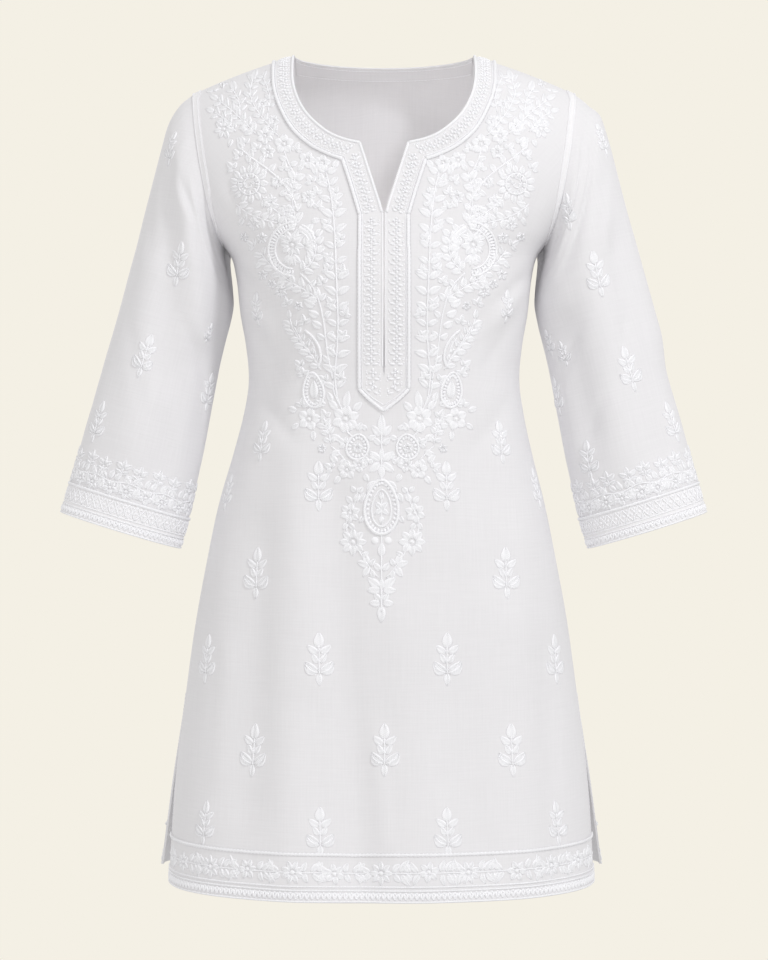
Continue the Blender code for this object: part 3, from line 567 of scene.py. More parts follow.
def add_mesh(name, points, faces, material, layer, values, sharp=None):
    """A smooth mesh with one layer of coordinates for its material; points are in mm."""
    mesh = bpy.data.meshes.new(name)
    mesh.from_pydata((np.asarray(points) * MM).tolist(), [], faces)
    attribute = mesh.attributes.new(layer, "FLOAT_VECTOR", "POINT")
    filled = np.zeros((len(points), 3), np.float32)
    filled[:, : values.shape[1]] = values
    attribute.data.foreach_set("vector", filled.ravel())
    mesh.materials.append(material)
    mesh.update()
    mesh.shade_smooth()
    if sharp is not None:
        mesh.set_sharp_from_angle(angle=math.radians(sharp))
    piece = bpy.data.objects.new(name, mesh)
    bpy.context.scene.collection.objects.link(piece)
    return piece


def shell(name, cloth, wall, material):
    """A closed thin wall between two distances from the cloth's points."""
    low, high = wall
    count = len(cloth.points)
    outer = cloth.points + cloth.normals * high
    inner = cloth.points + cloth.normals * low
    faces = [face for face in map(clean, cloth.faces.tolist()) if len(face) > 2]
    edges = {}
    for face in faces:
        for a, b in zip(face, face[1:] + face[:1]):
            if (b, a) in edges:
                del edges[(b, a)]
            else:
                edges[(a, b)] = True
    under = [[v + count for v in reversed(f)] for f in faces]
    rim = [[b, a, a + count, b + count] for a, b in edges]
    weave = np.concatenate((cloth.weave, cloth.weave))
    points = np.concatenate((outer, inner))
    return add_mesh(name, points, faces + under + rim, material, "weave", weave, sharp=60)


# ---------------------------------------------------------------- embroidery
CAMERA_Y = -2600.0
CAMERA_Z = -404.0
# the front view is counted in millimetres from its left and its top
VIEW_CENTRE_X = 384.0
VIEW_ORIGIN_Y = 76.0
VIEW_MIRROR = 765.0
# stitches start a little under the cloth
SUNK = 0.25
LEAF_HIGH = 1.75


class Needle:
    """Collects raised stitches for one piece, laid on a cloth's surface."""

    def __init__(self, tree):
        self.tree = tree
        self.points = []
        self.faces = []
        self.stitch_and_rim_shade = []

    def seen(self, x, y, face=-1):
        """The cloth's place and normal behind a point of the front or back view."""
        origin = Vector((0.0, CAMERA_Y * -face, CAMERA_Z))
        aim = Vector((x - VIEW_CENTRE_X, 0.0, VIEW_ORIGIN_Y - y)) - origin
        hit, normal, _, _ = self.tree.ray_cast(origin, aim.normalized(), 4000.0)
        if hit is None:
            return None
        return np.array(hit), np.array(normal)

    def near(self, point):
        hit, normal, _, _ = self.tree.find_nearest(Vector(point))
        return np.array(hit), np.array(normal)

    def lay(self, flat, heights, faces, along, across, edge):
        """Adds a patch whose points are drawn onto the cloth and raised; edge says how much painted
        shade the thread's colour gets at each point.
        """
        offset = len(self.points)
        for point, height in zip(flat, heights):
            place, normal = self.near(point)
            self.points.append(place + normal * height)
        self.faces += [[v + offset for v in f] for f in faces]
        self.stitch_and_rim_shade += list(zip(along, across, edge))

    def leaf(self, base, tip, width, height=1.0, fine=True, bend=0.0, vein=True):
        """A padded leaf or petal between two places on the cloth."""
        base, normal = self.near(base)
        axis = np.asarray(tip, float) - base
        axis -= normal * np.dot(axis, normal)
        length = np.linalg.norm(axis)
        if length < 0.6:
            return
        axis /= length
        aside = np.cross(normal, axis)
        shape = FINE_LEAF if fine else SMALL_LEAF
        t, v, lift, ridge = shape["t"], shape["v"], shape["lift"], shape["ridge"]
        half = width / 2 * shape["profile"]
        if vein and fine:
            lift = lift * ridge
        curve = bend * length * 4 * t * (1 - t)
        flat = base + axis * (t * length)[:, None] + aside * (v * half + curve)[:, None]
        self.lay(flat, lift * height - SUNK, shape["faces"], t * length, v * half, shape["edge"])

    def knot(self, place, radius, height=1.0):
        """A small round of stitches."""
        place, normal = self.near(place)
        axis = np.cross(normal, (0.0, 0.31, 0.95))
        axis /= np.linalg.norm(axis)
        aside = np.cross(normal, axis)
        x, y, lift = KNOT["x"], KNOT["y"], KNOT["lift"]
        flat = place + axis * (x * radius)[:, None] + aside * (y * radius)[:, None]
        self.lay(flat, lift * height - SUNK, KNOT["faces"], x, y, KNOT["edge"])

    def stem(self, path, radius=0.8, height=None, step=3.0, twist=0.0, closed=False):
        """A raised line of stitches through places on the cloth."""
        path = smooth_path(np.asarray(path, float), step, closed)
        count = len(path)
        if count < 2:
            return
        height = radius * 1.1 if height is None else height
        places = np.empty_like(path)
        normals = np.empty_like(path)
        for k, point in enumerate(path):
            places[k], normals[k] = self.near(point)
        if closed:
            along = np.roll(places, -1, axis=0) - np.roll(places, 1, axis=0)
        else:
            along = np.gradient(places, axis=0)
        aside = np.cross(normals, along)
        aside /= np.maximum(np.linalg.norm(aside, axis=1, keepdims=True), 1e-9)
        run = run_along(places)
        swell = 1.0 + twist * np.where(np.arange(count) % 2 == 0, 1.0, -1.0)
        if not closed:
            swell[0] = swell[-1] = 0.6
        offset = len(self.points)
        for v, lift in ((-1.0, -0.25), (-0.62, 0.72), (0.0, 1.0), (0.62, 0.72), (1.0, -0.25)):
            width = radius * (swell if abs(v) < 1 else np.ones(count))
            up = lift * height * (swell if lift > 0 else np.ones(count))
            ring = places + aside * (v * width)[:, None] + normals * up[:, None]
            self.points += list(ring)
            # the two sunk side lines are marked for painted shade in the thread's colour
            self.stitch_and_rim_shade += [(a, v * radius, 1.0 if lift < 0 else 0.0) for a in run]
        last = count if closed else count - 1
        for strip in range(4):
            for k in range(last):
                a = offset + strip * count + k
                b = offset + strip * count + (k + 1) % count
                self.faces.append([a, b, b + count, a + count])
        if not closed:
            self.faces.append([offset + strip * count for strip in range(5)])
            self.faces.append([offset + count - 1 + strip * count for strip in range(4, -1, -1)])

    def build(self, name, material):
        stitch_and_rim_shade = np.array(self.stitch_and_rim_shade, float)
        return add_mesh(name, np.array(self.points), self.faces, material, "stitch_and_rim_shade", stitch_and_rim_shade)


def leaf_shape(stations, across):
    """A leaf's points: share along, side share, rise and the rise with a central groove."""
    t, v, lift, ridge = [0.0], [0.0], [0.0], [1.0]
    for s in stations:
        for a in across:
            t.append(s)
            v.append(a)
            dome = max(0.0, 1 - abs(a) ** 2.6)
            lift.append(dome * (0.55 + 0.45 * math.sin(math.pi * s ** 0.8)))
            ridge.append(0.15 if abs(a) < 0.05 else 1.0)
    tips = ((t, 1.0), (v, 0.0), (lift, 0.0), (ridge, 1.0))
    t, v, lift, ridge = (np.array(values + [tip]) for values, tip in tips)
    n, last = len(across), len(t) - 1
    faces = [[0, 1 + j, 2 + j] for j in range(n - 1)]
    for a in range(1, last - n):
        if a % n:
            faces.append([a, a + n, a + n + 1, a + 1])
    faces += [[a, last, a + 1] for a in range(last - n, last - 1)]
    return {
        "t": t, "v": v, "lift": lift, "ridge": ridge, "faces": faces,
        "profile": np.maximum(0.0, np.sin(np.pi * t ** 0.8)) ** 0.78,
        # the points where the leaf meets the cloth are marked for painted shade in the thread's
        # colour
        "edge": np.where(lift < 0.02, 1.0, 0.0),
    }


def knot_shape():
    x, y, lift = [0.0], [0.0], [1.0]
    for radius, rise in ((0.6, 0.85), (1.0, 0.0)):
        for k in range(8):
            turn = 2 * math.pi * (k + 0.5 * (radius == 1.0)) / 8
            x.append(radius * math.cos(turn))
            y.append(radius * math.sin(turn))
            lift.append(rise)
    faces = [[0, 1 + k, 1 + (k + 1) % 8] for k in range(8)]
    for k in range(8):
        faces.append([1 + k, 9 + k, 1 + (k + 1) % 8])
        faces.append([1 + (k + 1) % 8, 9 + k, 9 + (k + 1) % 8])
    # the knot's rim is marked for a lighter painted shade in the thread's colour
    edge = np.where(np.array(lift) < 0.02, 0.6, 0.0)
    x, y, lift = (np.array(values) for values in (x, y, lift))
    return {"x": x, "y": y, "lift": lift, "faces": faces, "edge": edge}


FINE_LEAF = leaf_shape(
    (0.1, 0.26, 0.45, 0.64, 0.82, 0.94), (-1.0, -0.72, -0.36, 0.0, 0.36, 0.72, 1.0)
)
SMALL_LEAF = leaf_shape((0.15, 0.45, 0.8), (-1.0, -0.55, 0.0, 0.55, 1.0))
KNOT = knot_shape()


def smooth_path(points, step, closed=False):
    """Evenly spaced points on a smooth curve through the given ones."""
    if closed:
        points = np.vstack((points, points[:1]))
    run = run_along(points)
    keep = np.concatenate(([True], np.diff(run) > 1e-6))
    points, run = points[keep], run[keep]
    if len(points) < 2:
        return points
    at = np.linspace(0, run[-1], max(2, int(round(run[-1] / step)) + 1))
    if closed:
        points = np.vstack((points[-2:-1], points, points[1:2]))
        run = np.concatenate((run[-2:-1] - run[-1], run, run[1:2] + run[-1]))
    rises = np.diff(points, axis=0) / np.diff(run)[:, None]
    middle = (points[2:] - points[:-2]) / (run[2:] - run[:-2])[:, None]
    out = hermite(run, points, np.concatenate((rises[:1], middle, rises[-1:])), at)
    return out[:-1] if closed else out


def petal_width(petals):
    """A petal's width as a share of its flower's radius."""
    return 0.66 if petals <= 5 else 0.56 if petals == 6 else 0.44


def oval(x, y, wide, tall, lean, angles, point=0.0):
    """Places round a leaning oval, from its top clockwise; its top may be drawn to a point."""
    c, s = math.cos(math.radians(lean)), math.sin(math.radians(lean))
    path = []
    for a in angles:
        across = wide / 2 * math.sin(a) * (1 - point * (0.5 * (1 + math.cos(a))) ** 2)
        down = -tall / 2 * math.cos(a)
        path.append((x + across * c - down * s, y + across * s + down * c))
    return path


class Hand:
    """Draws motifs with a needle, at places that a subclass finds on the cloth."""

    UP = 1
    LEAF_WIDE = 1.15
    PETAL_WIDE = 1.1
    PETAL_START = 0.22
    EYE = (0.2, 1.5)

    def __init__(self, needle, mirror=False):
        self.needle = needle
        self.mirror = mirror
        self.marks = []

    def leaf(self, x, y, tip_x, tip_y, width, height=1.0, bend=0.0, vein=True, fine=True):
        base, tip = self.place(x, y), self.place(tip_x, tip_y)
        if base is None or tip is None:
            return
        bend = -bend if self.mirror else bend
        self.needle.leaf(base, tip, width * self.LEAF_WIDE, height * LEAF_HIGH, fine, bend, vein)
        for share in (0.1, 0.5, 0.9):
            self.marks.append((x + (tip_x - x) * share, y + (tip_y - y) * share))

    def petal(self, x, y, turn, length, width, **more):
        """A leaf from a place, at a clockwise angle in degrees from straight up."""
        angle = math.radians(turn)
        tip_x, tip_y = x + length * math.sin(angle), y + self.UP * length * math.cos(angle)
        self.leaf(x, y, tip_x, tip_y, width, **more)

    def knot(self, x, y, radius, height=1.0):
        place = self.place(x, y)
        if place is not None:
            self.needle.knot(place, radius, height)

    def flower(self, x, y, radius, petals=5, turn=0.0, height=1.1):
        """A flower of petals round a knot."""
        start = radius * self.PETAL_START
        width = radius * petal_width(petals) * self.PETAL_WIDE
        for k in range(petals):
            angle = math.radians(turn + 360.0 * k / petals)
            sx, sy = math.sin(angle), self.UP * math.cos(angle)
            ends = (x + sx * start, y + sy * start, x + sx * radius, y + sy * radius)
            self.leaf(*ends, width, height)
        self.knot(x, y, radius * self.EYE[0], self.EYE[1])


class Front(Hand):
    """Draws motifs as they are seen from the front: x to the right and y down."""

    UP = -1
    LEAF_WIDE = 1.42
    PETAL_WIDE = 1.0
    EYE = (0.155, 1.35)

    def __init__(self, needle, mirror=False, face=-1):
        super().__init__(needle, mirror)
        self.face = face

    def place(self, x, y):
        found = self.needle.seen(VIEW_MIRROR - x if self.mirror else x, y, self.face)
        return None if found is None else found[0]

    def stem(self, path, radius=0.8, **more):
        path = smooth_path(np.array(path, float), 5.0)
        self.marks += [tuple(p) for p in path]
        places = [p for p in (self.place(x, y) for x, y in path) if p is not None]
        if len(places) > 1:
            self.needle.stem(places, radius, **more)

    def ring(self, x, y, wide, tall, lean=0.0, point=0.0, teeth=0, radius=1.2):
        """An oval or drop-shaped line, with short stitches standing inside it."""
        count = 40
        path = oval(x, y, wide, tall, lean, [2 * math.pi * k / count for k in range(count)], point)
        places = [self.place(px, py) for px, py in path]
        self.needle.stem(places, radius, closed=True, step=2.2, twist=0.14)
        for k in range(teeth):
            low, share = divmod(k / teeth * count, 1.0)
            (ax, ay), (bx, by) = path[int(low)], path[(int(low) + 1) % count]
            px, py = ax + (bx - ax) * share, ay + (by - ay) * share
            size = math.hypot(px - x, py - y)
            ox, oy = (px - x) / size, (py - y) / size
            ends = (px - ox, py - oy, px - ox * 5.4, py - oy * 5.4)
            self.leaf(*ends, 2.6, 0.8, vein=False, fine=False)

    def crescent(self, x, y, wide, tall, lean, start, stop):
        """Part of an oval drawn as two lines with short stitches between them."""
        angles = [math.radians(start + (stop - start) * k / 24) for k in range(25)]
        lines = []
        for share, radius in ((1.0, 1.6), (0.74, 1.3)):
            lines.append(oval(x, y, wide * share, tall * share, lean, angles))
            self.stem(lines[-1], radius, step=2.0, twist=0.2)
        for outer, inner in zip(*lines):
            self.leaf(*outer, *inner, 2.4, 0.9, vein=False, fine=False)

    def vine(self, leaf, width, gap, start, spread, path, sides=SIDES, radius=0.8):
        """A stem with leaves along it."""
        self.stem(path, radius)
        line = smooth_path(np.array(path, float), 1.0)
        run = run_along(line)

        def along(distance):
            return [np.interp(distance, run, line[:, c]) for c in range(2)]

        for at in start + gap * np.arange(math.ceil((run[-1] - start) / gap)):
            x, y = along(at)
            ahead, behind = along(min(at + 2, run[-1])), along(max(at - 2, 0))
            way = math.atan2(ahead[0] - behind[0], behind[1] - ahead[1])
            swell = 1 + 0.10 * math.sin(at * 1.7 + leaf)
            for side in sides:
                turn = math.degrees(way) + side * (spread + 5 * math.sin(at * 0.9 + side))
                foot_x, foot_y = x + side * 0.8 * math.cos(way), y + side * 0.8 * math.sin(way)
                self.petal(foot_x, foot_y, turn, leaf * swell, width * swell, bend=0.07 * side)

    def rose(self, x, y, radius):
        """A full bloom: a leafy edge, petals, a ring of thread and a small flower inside."""
        for k in range(13):
            turn = 360.0 * k / 13
            sx, sy = math.sin(math.radians(turn)), -math.cos(math.radians(turn))
            foot = (x + sx * radius * 0.62, y + sy * radius * 0.62)
            self.petal(*foot, turn + 14, radius * 0.52, radius * 0.30)
        for k in range(9):
            a = 2 * math.pi * (k + 0.5) / 9
            sx, sy = radius * math.sin(a), -radius * math.cos(a)
            ends = (x + sx * 0.34, y + sy * 0.34, x + sx * 0.70, y + sy * 0.70)
            self.leaf(*ends, radius * 0.24, 1.2)
        self.ring(x, y, radius * 1.18, radius * 1.18, radius=1.1)
        curl = ((0.05, 0.0), (0.16, 1.0), (0.22, 2.4), (0.26, 3.8), (0.34, 5.2), (0.38, 6.6))
        curl = [(radius * r * math.sin(t), -radius * r * math.cos(t)) for r, t in curl]
        self.stem([(x + right, y + down) for right, down in curl], 0.9)
        self.petal(x - radius * 0.1, y, -120, radius * 0.3, radius * 0.16)
        self.petal(x + radius * 0.1, y, 60, radius * 0.3, radius * 0.16)


# foot x and y, tip x and y, width, height and bend of a sprig's leaves; those that lie to the
# side of its stem have a mirror image
SPRIG = (
    (0, 9.5, 0, 26, 8.6, 1.15, 0), (0.8, 5.0, 12.2, 13.0, 6.2, 1, -0.06),
    (1.5, -5.5, 7.4, 4.6, 5.2, 1, 0), (0.6, -15.0, 15.0, -3.6, 5.4, 1.1, -0.27),
    (0.6, -13.5, 14.4, -3.2, 4.8, 1.1, -0.02), (0, -15.5, 0, -28, 5.6, 1, 0),
)


class Patch(Front):
    """Draws a motif flat on the cloth round one place, so that it keeps its form on the sides."""

    def __init__(self, needle, x, y, face=-1):
        super().__init__(needle, face=face)
        self.x, self.y = x, y
        self.centre, normal = needle.seen(x, y, face)
        up = np.array((0.0, 0.0, 1.0)) - normal * normal[2]
        self.up = up / np.linalg.norm(up)
        self.across = np.cross(self.up, normal) * -face
        self.reach = abs(self.centre[1] + CAMERA_Y * face) / abs(CAMERA_Y)

    def place(self, x, y):
        right, rise = (x - self.x) * self.reach, (self.y - y) * self.reach
        return self.needle.near(self.centre + self.across * right + self.up * rise)[0]

    def sprig(self, scale, lean=0.0):
        """The single sprig that is scattered over the cloth, round the patch's own place."""
        c, d = math.cos(math.radians(lean)) * scale, math.sin(math.radians(lean)) * scale

        def at(px, py):
            return self.x + px * c + py * d, self.y + px * d - py * c

        self.stem([at(0, 12), at(0, 0), at(0, -17)], 0.9 * scale)
        for foot_x, foot_y, tip_x, tip_y, width, height, bend in SPRIG:
            for side in SIDES if tip_x else (1,):
                ends = at(side * foot_x, foot_y) + at(side * tip_x, tip_y)
                self.leaf(*ends, width * 0.98 * scale, height, bend * side)


# ---------------------------------------------------------------- materials
class Shades:
    """A material with short ways to add and join its nodes."""

    def __init__(self, name):
        self.material = bpy.data.materials.new(name)
        self.material.use_nodes = True
        self.tree = self.material.node_tree
        self.shader = self.tree.nodes["Principled BSDF"]

    def join(self, node, values):
        """Gives a node's inputs their values: numbers, or other nodes' outputs."""
        for name, value in values.items():
            if isinstance(value, bpy.types.NodeSocket):
                self.tree.links.new(value, node.inputs[name])
            else:
                node.inputs[name].default_value = value

    def add(self, kind, output, values, **settings):
        node = self.tree.nodes.new("ShaderNode" + kind)
        for name, value in settings.items():
            setattr(node, name, value)
        self.join(node, values)
        return node.outputs[output]

    def ramp(self, share, dark, light, start=0.0, stop=1.0):
        colour = self.add("ValToRGB", "Color", {"Fac": share})
        ends = colour.node.color_ramp.elements
        ends[0].position, ends[1].position = start, stop
        ends[0].color, ends[1].color = (*dark, 1.0), (*light, 1.0)
        return colour

    def relief(self, height, strength, distance):
        values = {"Height": height, "Strength": strength, "Distance": distance}
        return self.add("Bump", "Normal", values)


def cotton_material(name, base, slub, seed):
    """Plain woven cotton: slubs in two thread directions, faint weave relief, a soft sheen."""
    shades = Shades(name)
    thread = shades.add("Attribute", "Vector", {}, attribute_name="weave")
    slubs = []
    for across, along, shift in ((0.045, 0.95, seed), (0.95, 0.035, seed + 7)):
        scaled = shades.add("Mapping", "Vector", {
            "Vector": thread, "Scale": (across, along, 0.0), "Location": (shift, shift * 0.37, 0.0),
        })
        slubs.append(shades.add("TexNoise", "Fac", {
            "Vector": scaled, "Scale": 0.62, "Detail": 3.0, "Roughness": 0.62,
        }))
    both = shades.add("Math", "Value", {0: slubs[0], 1: slubs[1]}, operation="ADD")
    half = shades.add("Math", "Value", {0: both, 1: 0.5}, operation="MULTIPLY")
    dark = [c * (1 - slub) for c in base]
    light = [min(1.0, c * (1 + slub * 0.6)) for c in base]
    woven = shades.ramp(half, dark, light, 0.30, 0.70)
    # the weave's third coordinate is the depth in a folded edge, where the cloth is denser
    depth = shades.add("SeparateXYZ", "Z", {"Vector": thread})
    folded = shades.add("Math", "Value", {0: depth, 1: 2.0}, operation="MULTIPLY", use_clamp=True)
    denser = {"Fac": folded, "Color1": woven, "Color2": (0.075, 0.075, 0.075, 1.0)}
    shades.join(shades.shader, {
        "Base Color": shades.add("MixRGB", "Color", denser, blend_type="ADD"),
        "Normal": shades.relief(half, 0.35, 0.00035),
        "Roughness": 0.9, "Specular IOR Level": 0.15, "Sheen Weight": 0.12, "Sheen Roughness": 0.5,
    })
    return shades.material


def thread_material(name, base):
    """Satin-stitched cotton thread: fine stitches lie slanting across each shape, and each shape's
    rim is darkened as painted shade.
    """
    shades = Shades(name)
    stitch_and_rim_shade = shades.add("Attribute", "Vector", {}, attribute_name="stitch_and_rim_shade")
    slanting = shades.add("Mapping", "Vector", {
        "Vector": stitch_and_rim_shade, "Rotation": (0.0, 0.0, 0.5), "Scale": (1.0, 1.0, 0.0),
    })
    wave = shades.add("TexWave", "Fac", {
        "Vector": slanting, "Scale": 0.20, "Distortion": 1.8, "Detail": 1.0,
    })
    satin = shades.ramp(wave, [c * 0.955 for c in base], base)
    # the stitches' third coordinate is 1 on the rim of a shape, where it meets the cloth, and there
    # the thread's colour is darkened towards grey as painted shade
    edge = shades.add("SeparateXYZ", "Z", {"Vector": stitch_and_rim_shade})
    rim = shades.add("MapRange", "Result", {"Value": edge, "From Min": 0.25, "From Max": 0.95})
    # the grey here is painted shade at the rims of the stitched shapes
    painted_rim_shade = {"Fac": rim, "Color1": satin, "Color2": (0.55, 0.54, 0.55, 1.0)}
    shades.join(shades.shader, {
        "Base Color": shades.add("MixRGB", "Color", painted_rim_shade, blend_type="MULTIPLY"),
        "Normal": shades.relief(wave, 0.4, 0.0003),
        "Roughness": 0.6, "Specular IOR Level": 0.3, "Sheen Weight": 0.1,
    })
    return shades.material


COTTON = cotton_material("cotton_voile", (0.805, 0.799, 0.818), 0.036, 0.0)
BAND_COTTON = cotton_material("cotton_band", (0.882, 0.876, 0.893), 0.045, 11.0)
NECK_COTTON = cotton_material("cotton_neck_band", (0.822, 0.816, 0.834), 0.045, 5.0)
THREAD = thread_material("embroidery_thread", (0.955, 0.957, 0.985))

# ---------------------------------------------------------------- the cloth pieces
CUFF_RINGS = 13
RINGS = np.concatenate((np.linspace(0, 12, 112)[:-1], np.linspace(12, LAST_RING, CUFF_RINGS)))
AROUNDS = np.linspace(0, 2 * math.pi, 85)
FRONT_HALVES = {side: front_half(side) for side in SIDES}
BACK_HALVES = {side: back_half(side) for side in SIDES}
SLEEVES = {side: sleeve_grid(side, RINGS, AROUNDS) for side in SIDES}
# the mean radius that turns a sleeve's angles into lengths, and the way its length runs
SLEEVE_RADIUS = 48.0
SLEEVE_WAY = (0.28, -0.96)
WORDS = ((1, "left"), (-1, "right"))
PANELS = (("front", FRONT_HALVES, -1), ("back", BACK_HALVES, 1))


def row_index(row):
    return int(np.argmin(np.abs(ROWS - row)))


FOOT = row_index(BAND_FOOT_ROW)
BAND_TOP = row_index(4)
BAND_COLS = int(np.argmin(np.abs(FRONT_COLUMNS - 2)))
VENT_END = row_index(len(HEM_HEIGHTS) - 1 + VENT_ROWS)
NECK_COLS = int(np.argmin(np.abs(BACK_SHARES * STRIP_X - NECK_POINT[0])))
ARM_FROM = row_index(LOW_ROWS + 1)
STRIP_COLS = slice(-4, None)
# fold depths stay between these
FOLD_DEPTHS = (-6.0, 20.0)


def folded_strip(grid):
    """How far inside the folded strip of the vent each place lies, in mm."""
    depth = VENT_STRIP - np.linalg.norm(grid - grid[:, -1:], axis=2)
    depth = np.clip(depth, *FOLD_DEPTHS)
    depth[VENT_END + 1 :] = FOLD_DEPTHS[0]
    return depth[..., None]


def body_cloth(halves, face, rows=slice(None), cols=slice(None), sides=SIDES, folded=True):
    """The cloth of some rows and columns of the front or back."""
    weaves = []
    for side in sides:
        weave = thread_lengths(halves[side], side)
        if folded:
            weave = np.concatenate((weave, folded_strip(halves[side])), axis=2)
        weaves.append(weave[rows, cols])
    flips = [(side > 0) == (face > 0) for side in sides]
    return Cloth([halves[side][rows, cols] for side in sides], flips, weaves)


def sleeve_cloth(side, rows=slice(None)):
    grid = SLEEVES[side]
    around = np.broadcast_to(AROUNDS * SLEEVE_RADIUS, grid.shape[:2])
    down = grid @ np.array((side * SLEEVE_WAY[0], 0.0, SLEEVE_WAY[1]))
    return Cloth([grid[rows]], [side < 0], [np.stack((around, down), axis=-1)[rows]])


def neck_facing(flips):
    """The strip inside the back neck, from the neckline down."""
    grids = []
    x = BACK_SHARES[: NECK_COLS + 1] * STRIP_X
    height = back_neck_height(x) + np.linspace(-BACK_FACING_DROP, 0.0, 5)[:, None]
    angle = angle_at(1, np.broadcast_to(x, height.shape), height)
    for side in SIDES:
        grids.append(body_point(1, side, angle, height))
    return Cloth(grids, flips, [thread_lengths(grid, side) for grid, side in zip(grids, SIDES)])


# the inner and outer face of each wall, from the cloth's own surface
PANEL_WALL = (-0.9, 0.0)
NECK_WALL = (0.08, 0.75)
HEM_WALL = (0.08, 0.5)
CUFF_WALL = (0.08, 0.6)
STRIP_WALL = (0.05, 0.8)
FACING_WALL = (-1.6, -0.95)

cloths = {}
pieces = {}


def cut(node, name, cloth, wall, material):
    """Makes the shell of one solid, with its wall between two distances from the cloth."""
    cloths[node] = cloth
    pieces[node] = shell(name, cloth, wall, material)


cut("front_panel", "front_cloth", body_cloth(FRONT_HALVES, -1), PANEL_WALL, COTTON)
cut("back_panel", "back_cloth", body_cloth(BACK_HALVES, 1), PANEL_WALL, COTTON)
for side, word in WORDS:
    cut("sleeve_" + word, "sleeve_cloth_" + word, sleeve_cloth(side), PANEL_WALL, COTTON)
band = body_cloth(FRONT_HALVES, -1, slice(FOOT, None), slice(0, BAND_COLS + 1))
cut("neck_placket_band", "neck_band_cloth", band, NECK_WALL, NECK_COTTON)
for name, halves, face in PANELS:
    hem = body_cloth(halves, face, slice(0, BAND_TOP + 1))
    cut("hem_band_" + name, "hem_band_cloth_" + name, hem, HEM_WALL, COTTON)
for side, word in WORDS:
    cuff = sleeve_cloth(side, slice(-CUFF_RINGS, None))
    cut("cuff_band_" + word, "cuff_band_cloth_" + word, cuff, CUFF_WALL, BAND_COTTON)
    for name, halves, face in PANELS:
        title = name + "_" + word
        strip = body_cloth(halves, face, slice(ARM_FROM, None), STRIP_COLS, (side,), False)
        name_in_scene = "armhole_strip_cloth_" + title
        cut("armhole_strip_" + title, name_in_scene, strip, STRIP_WALL, BAND_COTTON)
        facing = body_cloth(halves, face, slice(0, VENT_END + 1), STRIP_COLS, (side,), False)
        cut("vent_facing_" + title, "vent_facing_cloth_" + title, facing, FACING_WALL, COTTON)
facing = neck_facing([False, True])
cut("back_neck_facing", "back_neck_facing_cloth", facing, FACING_WALL, COTTON)


# ---------------------------------------------------------------- borders that follow an edge
def between(start, end, share):
    return start + (end - start) * share


def cell_at(value, keys):
    """The cell of rising keys that holds a value, and the value's share of it."""
    place = float(np.interp(value, keys, np.arange(len(keys))))
    low = min(int(place), len(keys) - 2)
    return low, place - low


class Border(Hand):
    """Places on a border: distance along an edge and height above it, in mm."""

    def __init__(self, needle, grid, centred):
        super().__init__(needle)
        self.grid = grid
        lengths = thread_lengths(grid)
        self.run = lengths[0, :, 0]
        if centred:
            self.run = self.run - self.run[-1] / 2
        self.up = lengths[..., 1]

    def place(self, s, h):
        col, share = cell_at(s, self.run)
        ends = []
        for c in (col, col + 1):
            row, rise = cell_at(h, self.up[:, c])
            ends.append(between(self.grid[row, c], self.grid[row + 1, c], rise))
        return between(*ends, share)

    def stem(self, path, radius=0.8, **more):
        self.needle.stem([self.place(s, h) for s, h in path], radius, **more)

    def line(self, h, radius, start, end, step=1.7, twist=0.16, height=None, closed=False):
        """A corded line at one height; a closed one goes all round."""
        count = max(2, int(abs(end - start) / 5.0))
        path = [(start + (end - start) * k / count, h) for k in range(count + (not closed))]
        self.stem(path, radius, step=step, twist=twist, height=height, closed=closed)

    def sawtooth(self, low, high, start, end, gap):
        """A close row of slanting stitches with a knot between them."""
        count = max(1, int(round((end - start) / gap)))
        step = (end - start) / count
        for k in range(count):
            s = start + step * k
            for top in (s + 0.3, s + step - 0.3):
                self.leaf(top, high, s + step / 2, low, 2.9, 0.9, vein=False, fine=False)
            self.knot(s + step / 2, high - 0.9, 1.4, 0.9)


# share along a unit, size and lean of the leaf pairs of the hem's vine
HEM_LEAVES = (
    (0.25, 0.86, 30), (0.38, 1.06, 46), (0.52, 0.84, 30), (0.64, 1.0, -24), (0.78, 0.90, -48),
)
HEM_UNIT = 43.0


def hem_border(needle, halves):
    """The border along the hem of the front or back."""
    grid = np.concatenate((halves[-1][:, ::-1], halves[1][:, 1:]), axis=1)[: row_index(6)]
    border = Border(needle, grid, True)
    half = border.run[-1]
    reach = half - (VENT_STRIP + 1.0)
    border.line(1.0, 0.9, -half + 0.6, half - 0.6, height=0.9)
    border.sawtooth(2.2, 9.8, -half + 2, half - 2, 5.2)
    border.line(11.4, 0.95, -half + 1, half - 1, twist=0.3)
    border.line(15.0, 0.95, -half + 1, half - 1, twist=0.3)
    border.line(45.0, 1.8, -half + 1, half - 1, step=1.9, twist=0.42, height=1.35)
    border.line(28.0, 0.7, -reach, reach, step=3.0, twist=0.0)
    count = int(reach // HEM_UNIT) + 1
    for k in range(-count, count + 1):
        s = k * HEM_UNIT + 2.5 * math.sin(k * 2.3)
        radius, petals = (10.2, 6) if k % 2 else (11.4, 8)
        if -reach + 8 < s < reach - 8:
            border.flower(s, 28.0 + math.sin(k * 1.7), radius, petals, 12 * k)
        for j, (share, size, lean) in enumerate(HEM_LEAVES):
            x = s + HEM_UNIT * share + 1.2 * math.sin(s + 2.0 * j)
            if not -reach + 5 < x < reach - 6:
                continue
            size = 10.4 * size * (1 + 0.13 * math.sin(s * 0.31 + 1.9 * j))
            turn = lean + 11 * math.sin(x * 1.3)
            border.petal(x, 28.8, turn, size * 1.2, 6.3, bend=0.08)
            border.petal(x + 1.5, 27.2, 180 - turn + 9 * math.cos(x), size * 1.14, 5.9, bend=-0.08)


CUFF_FLOWERS = ((0.22, 39.6, 8.4, 6, 12), (0.77, 39.2, 8.2, 5, 30))
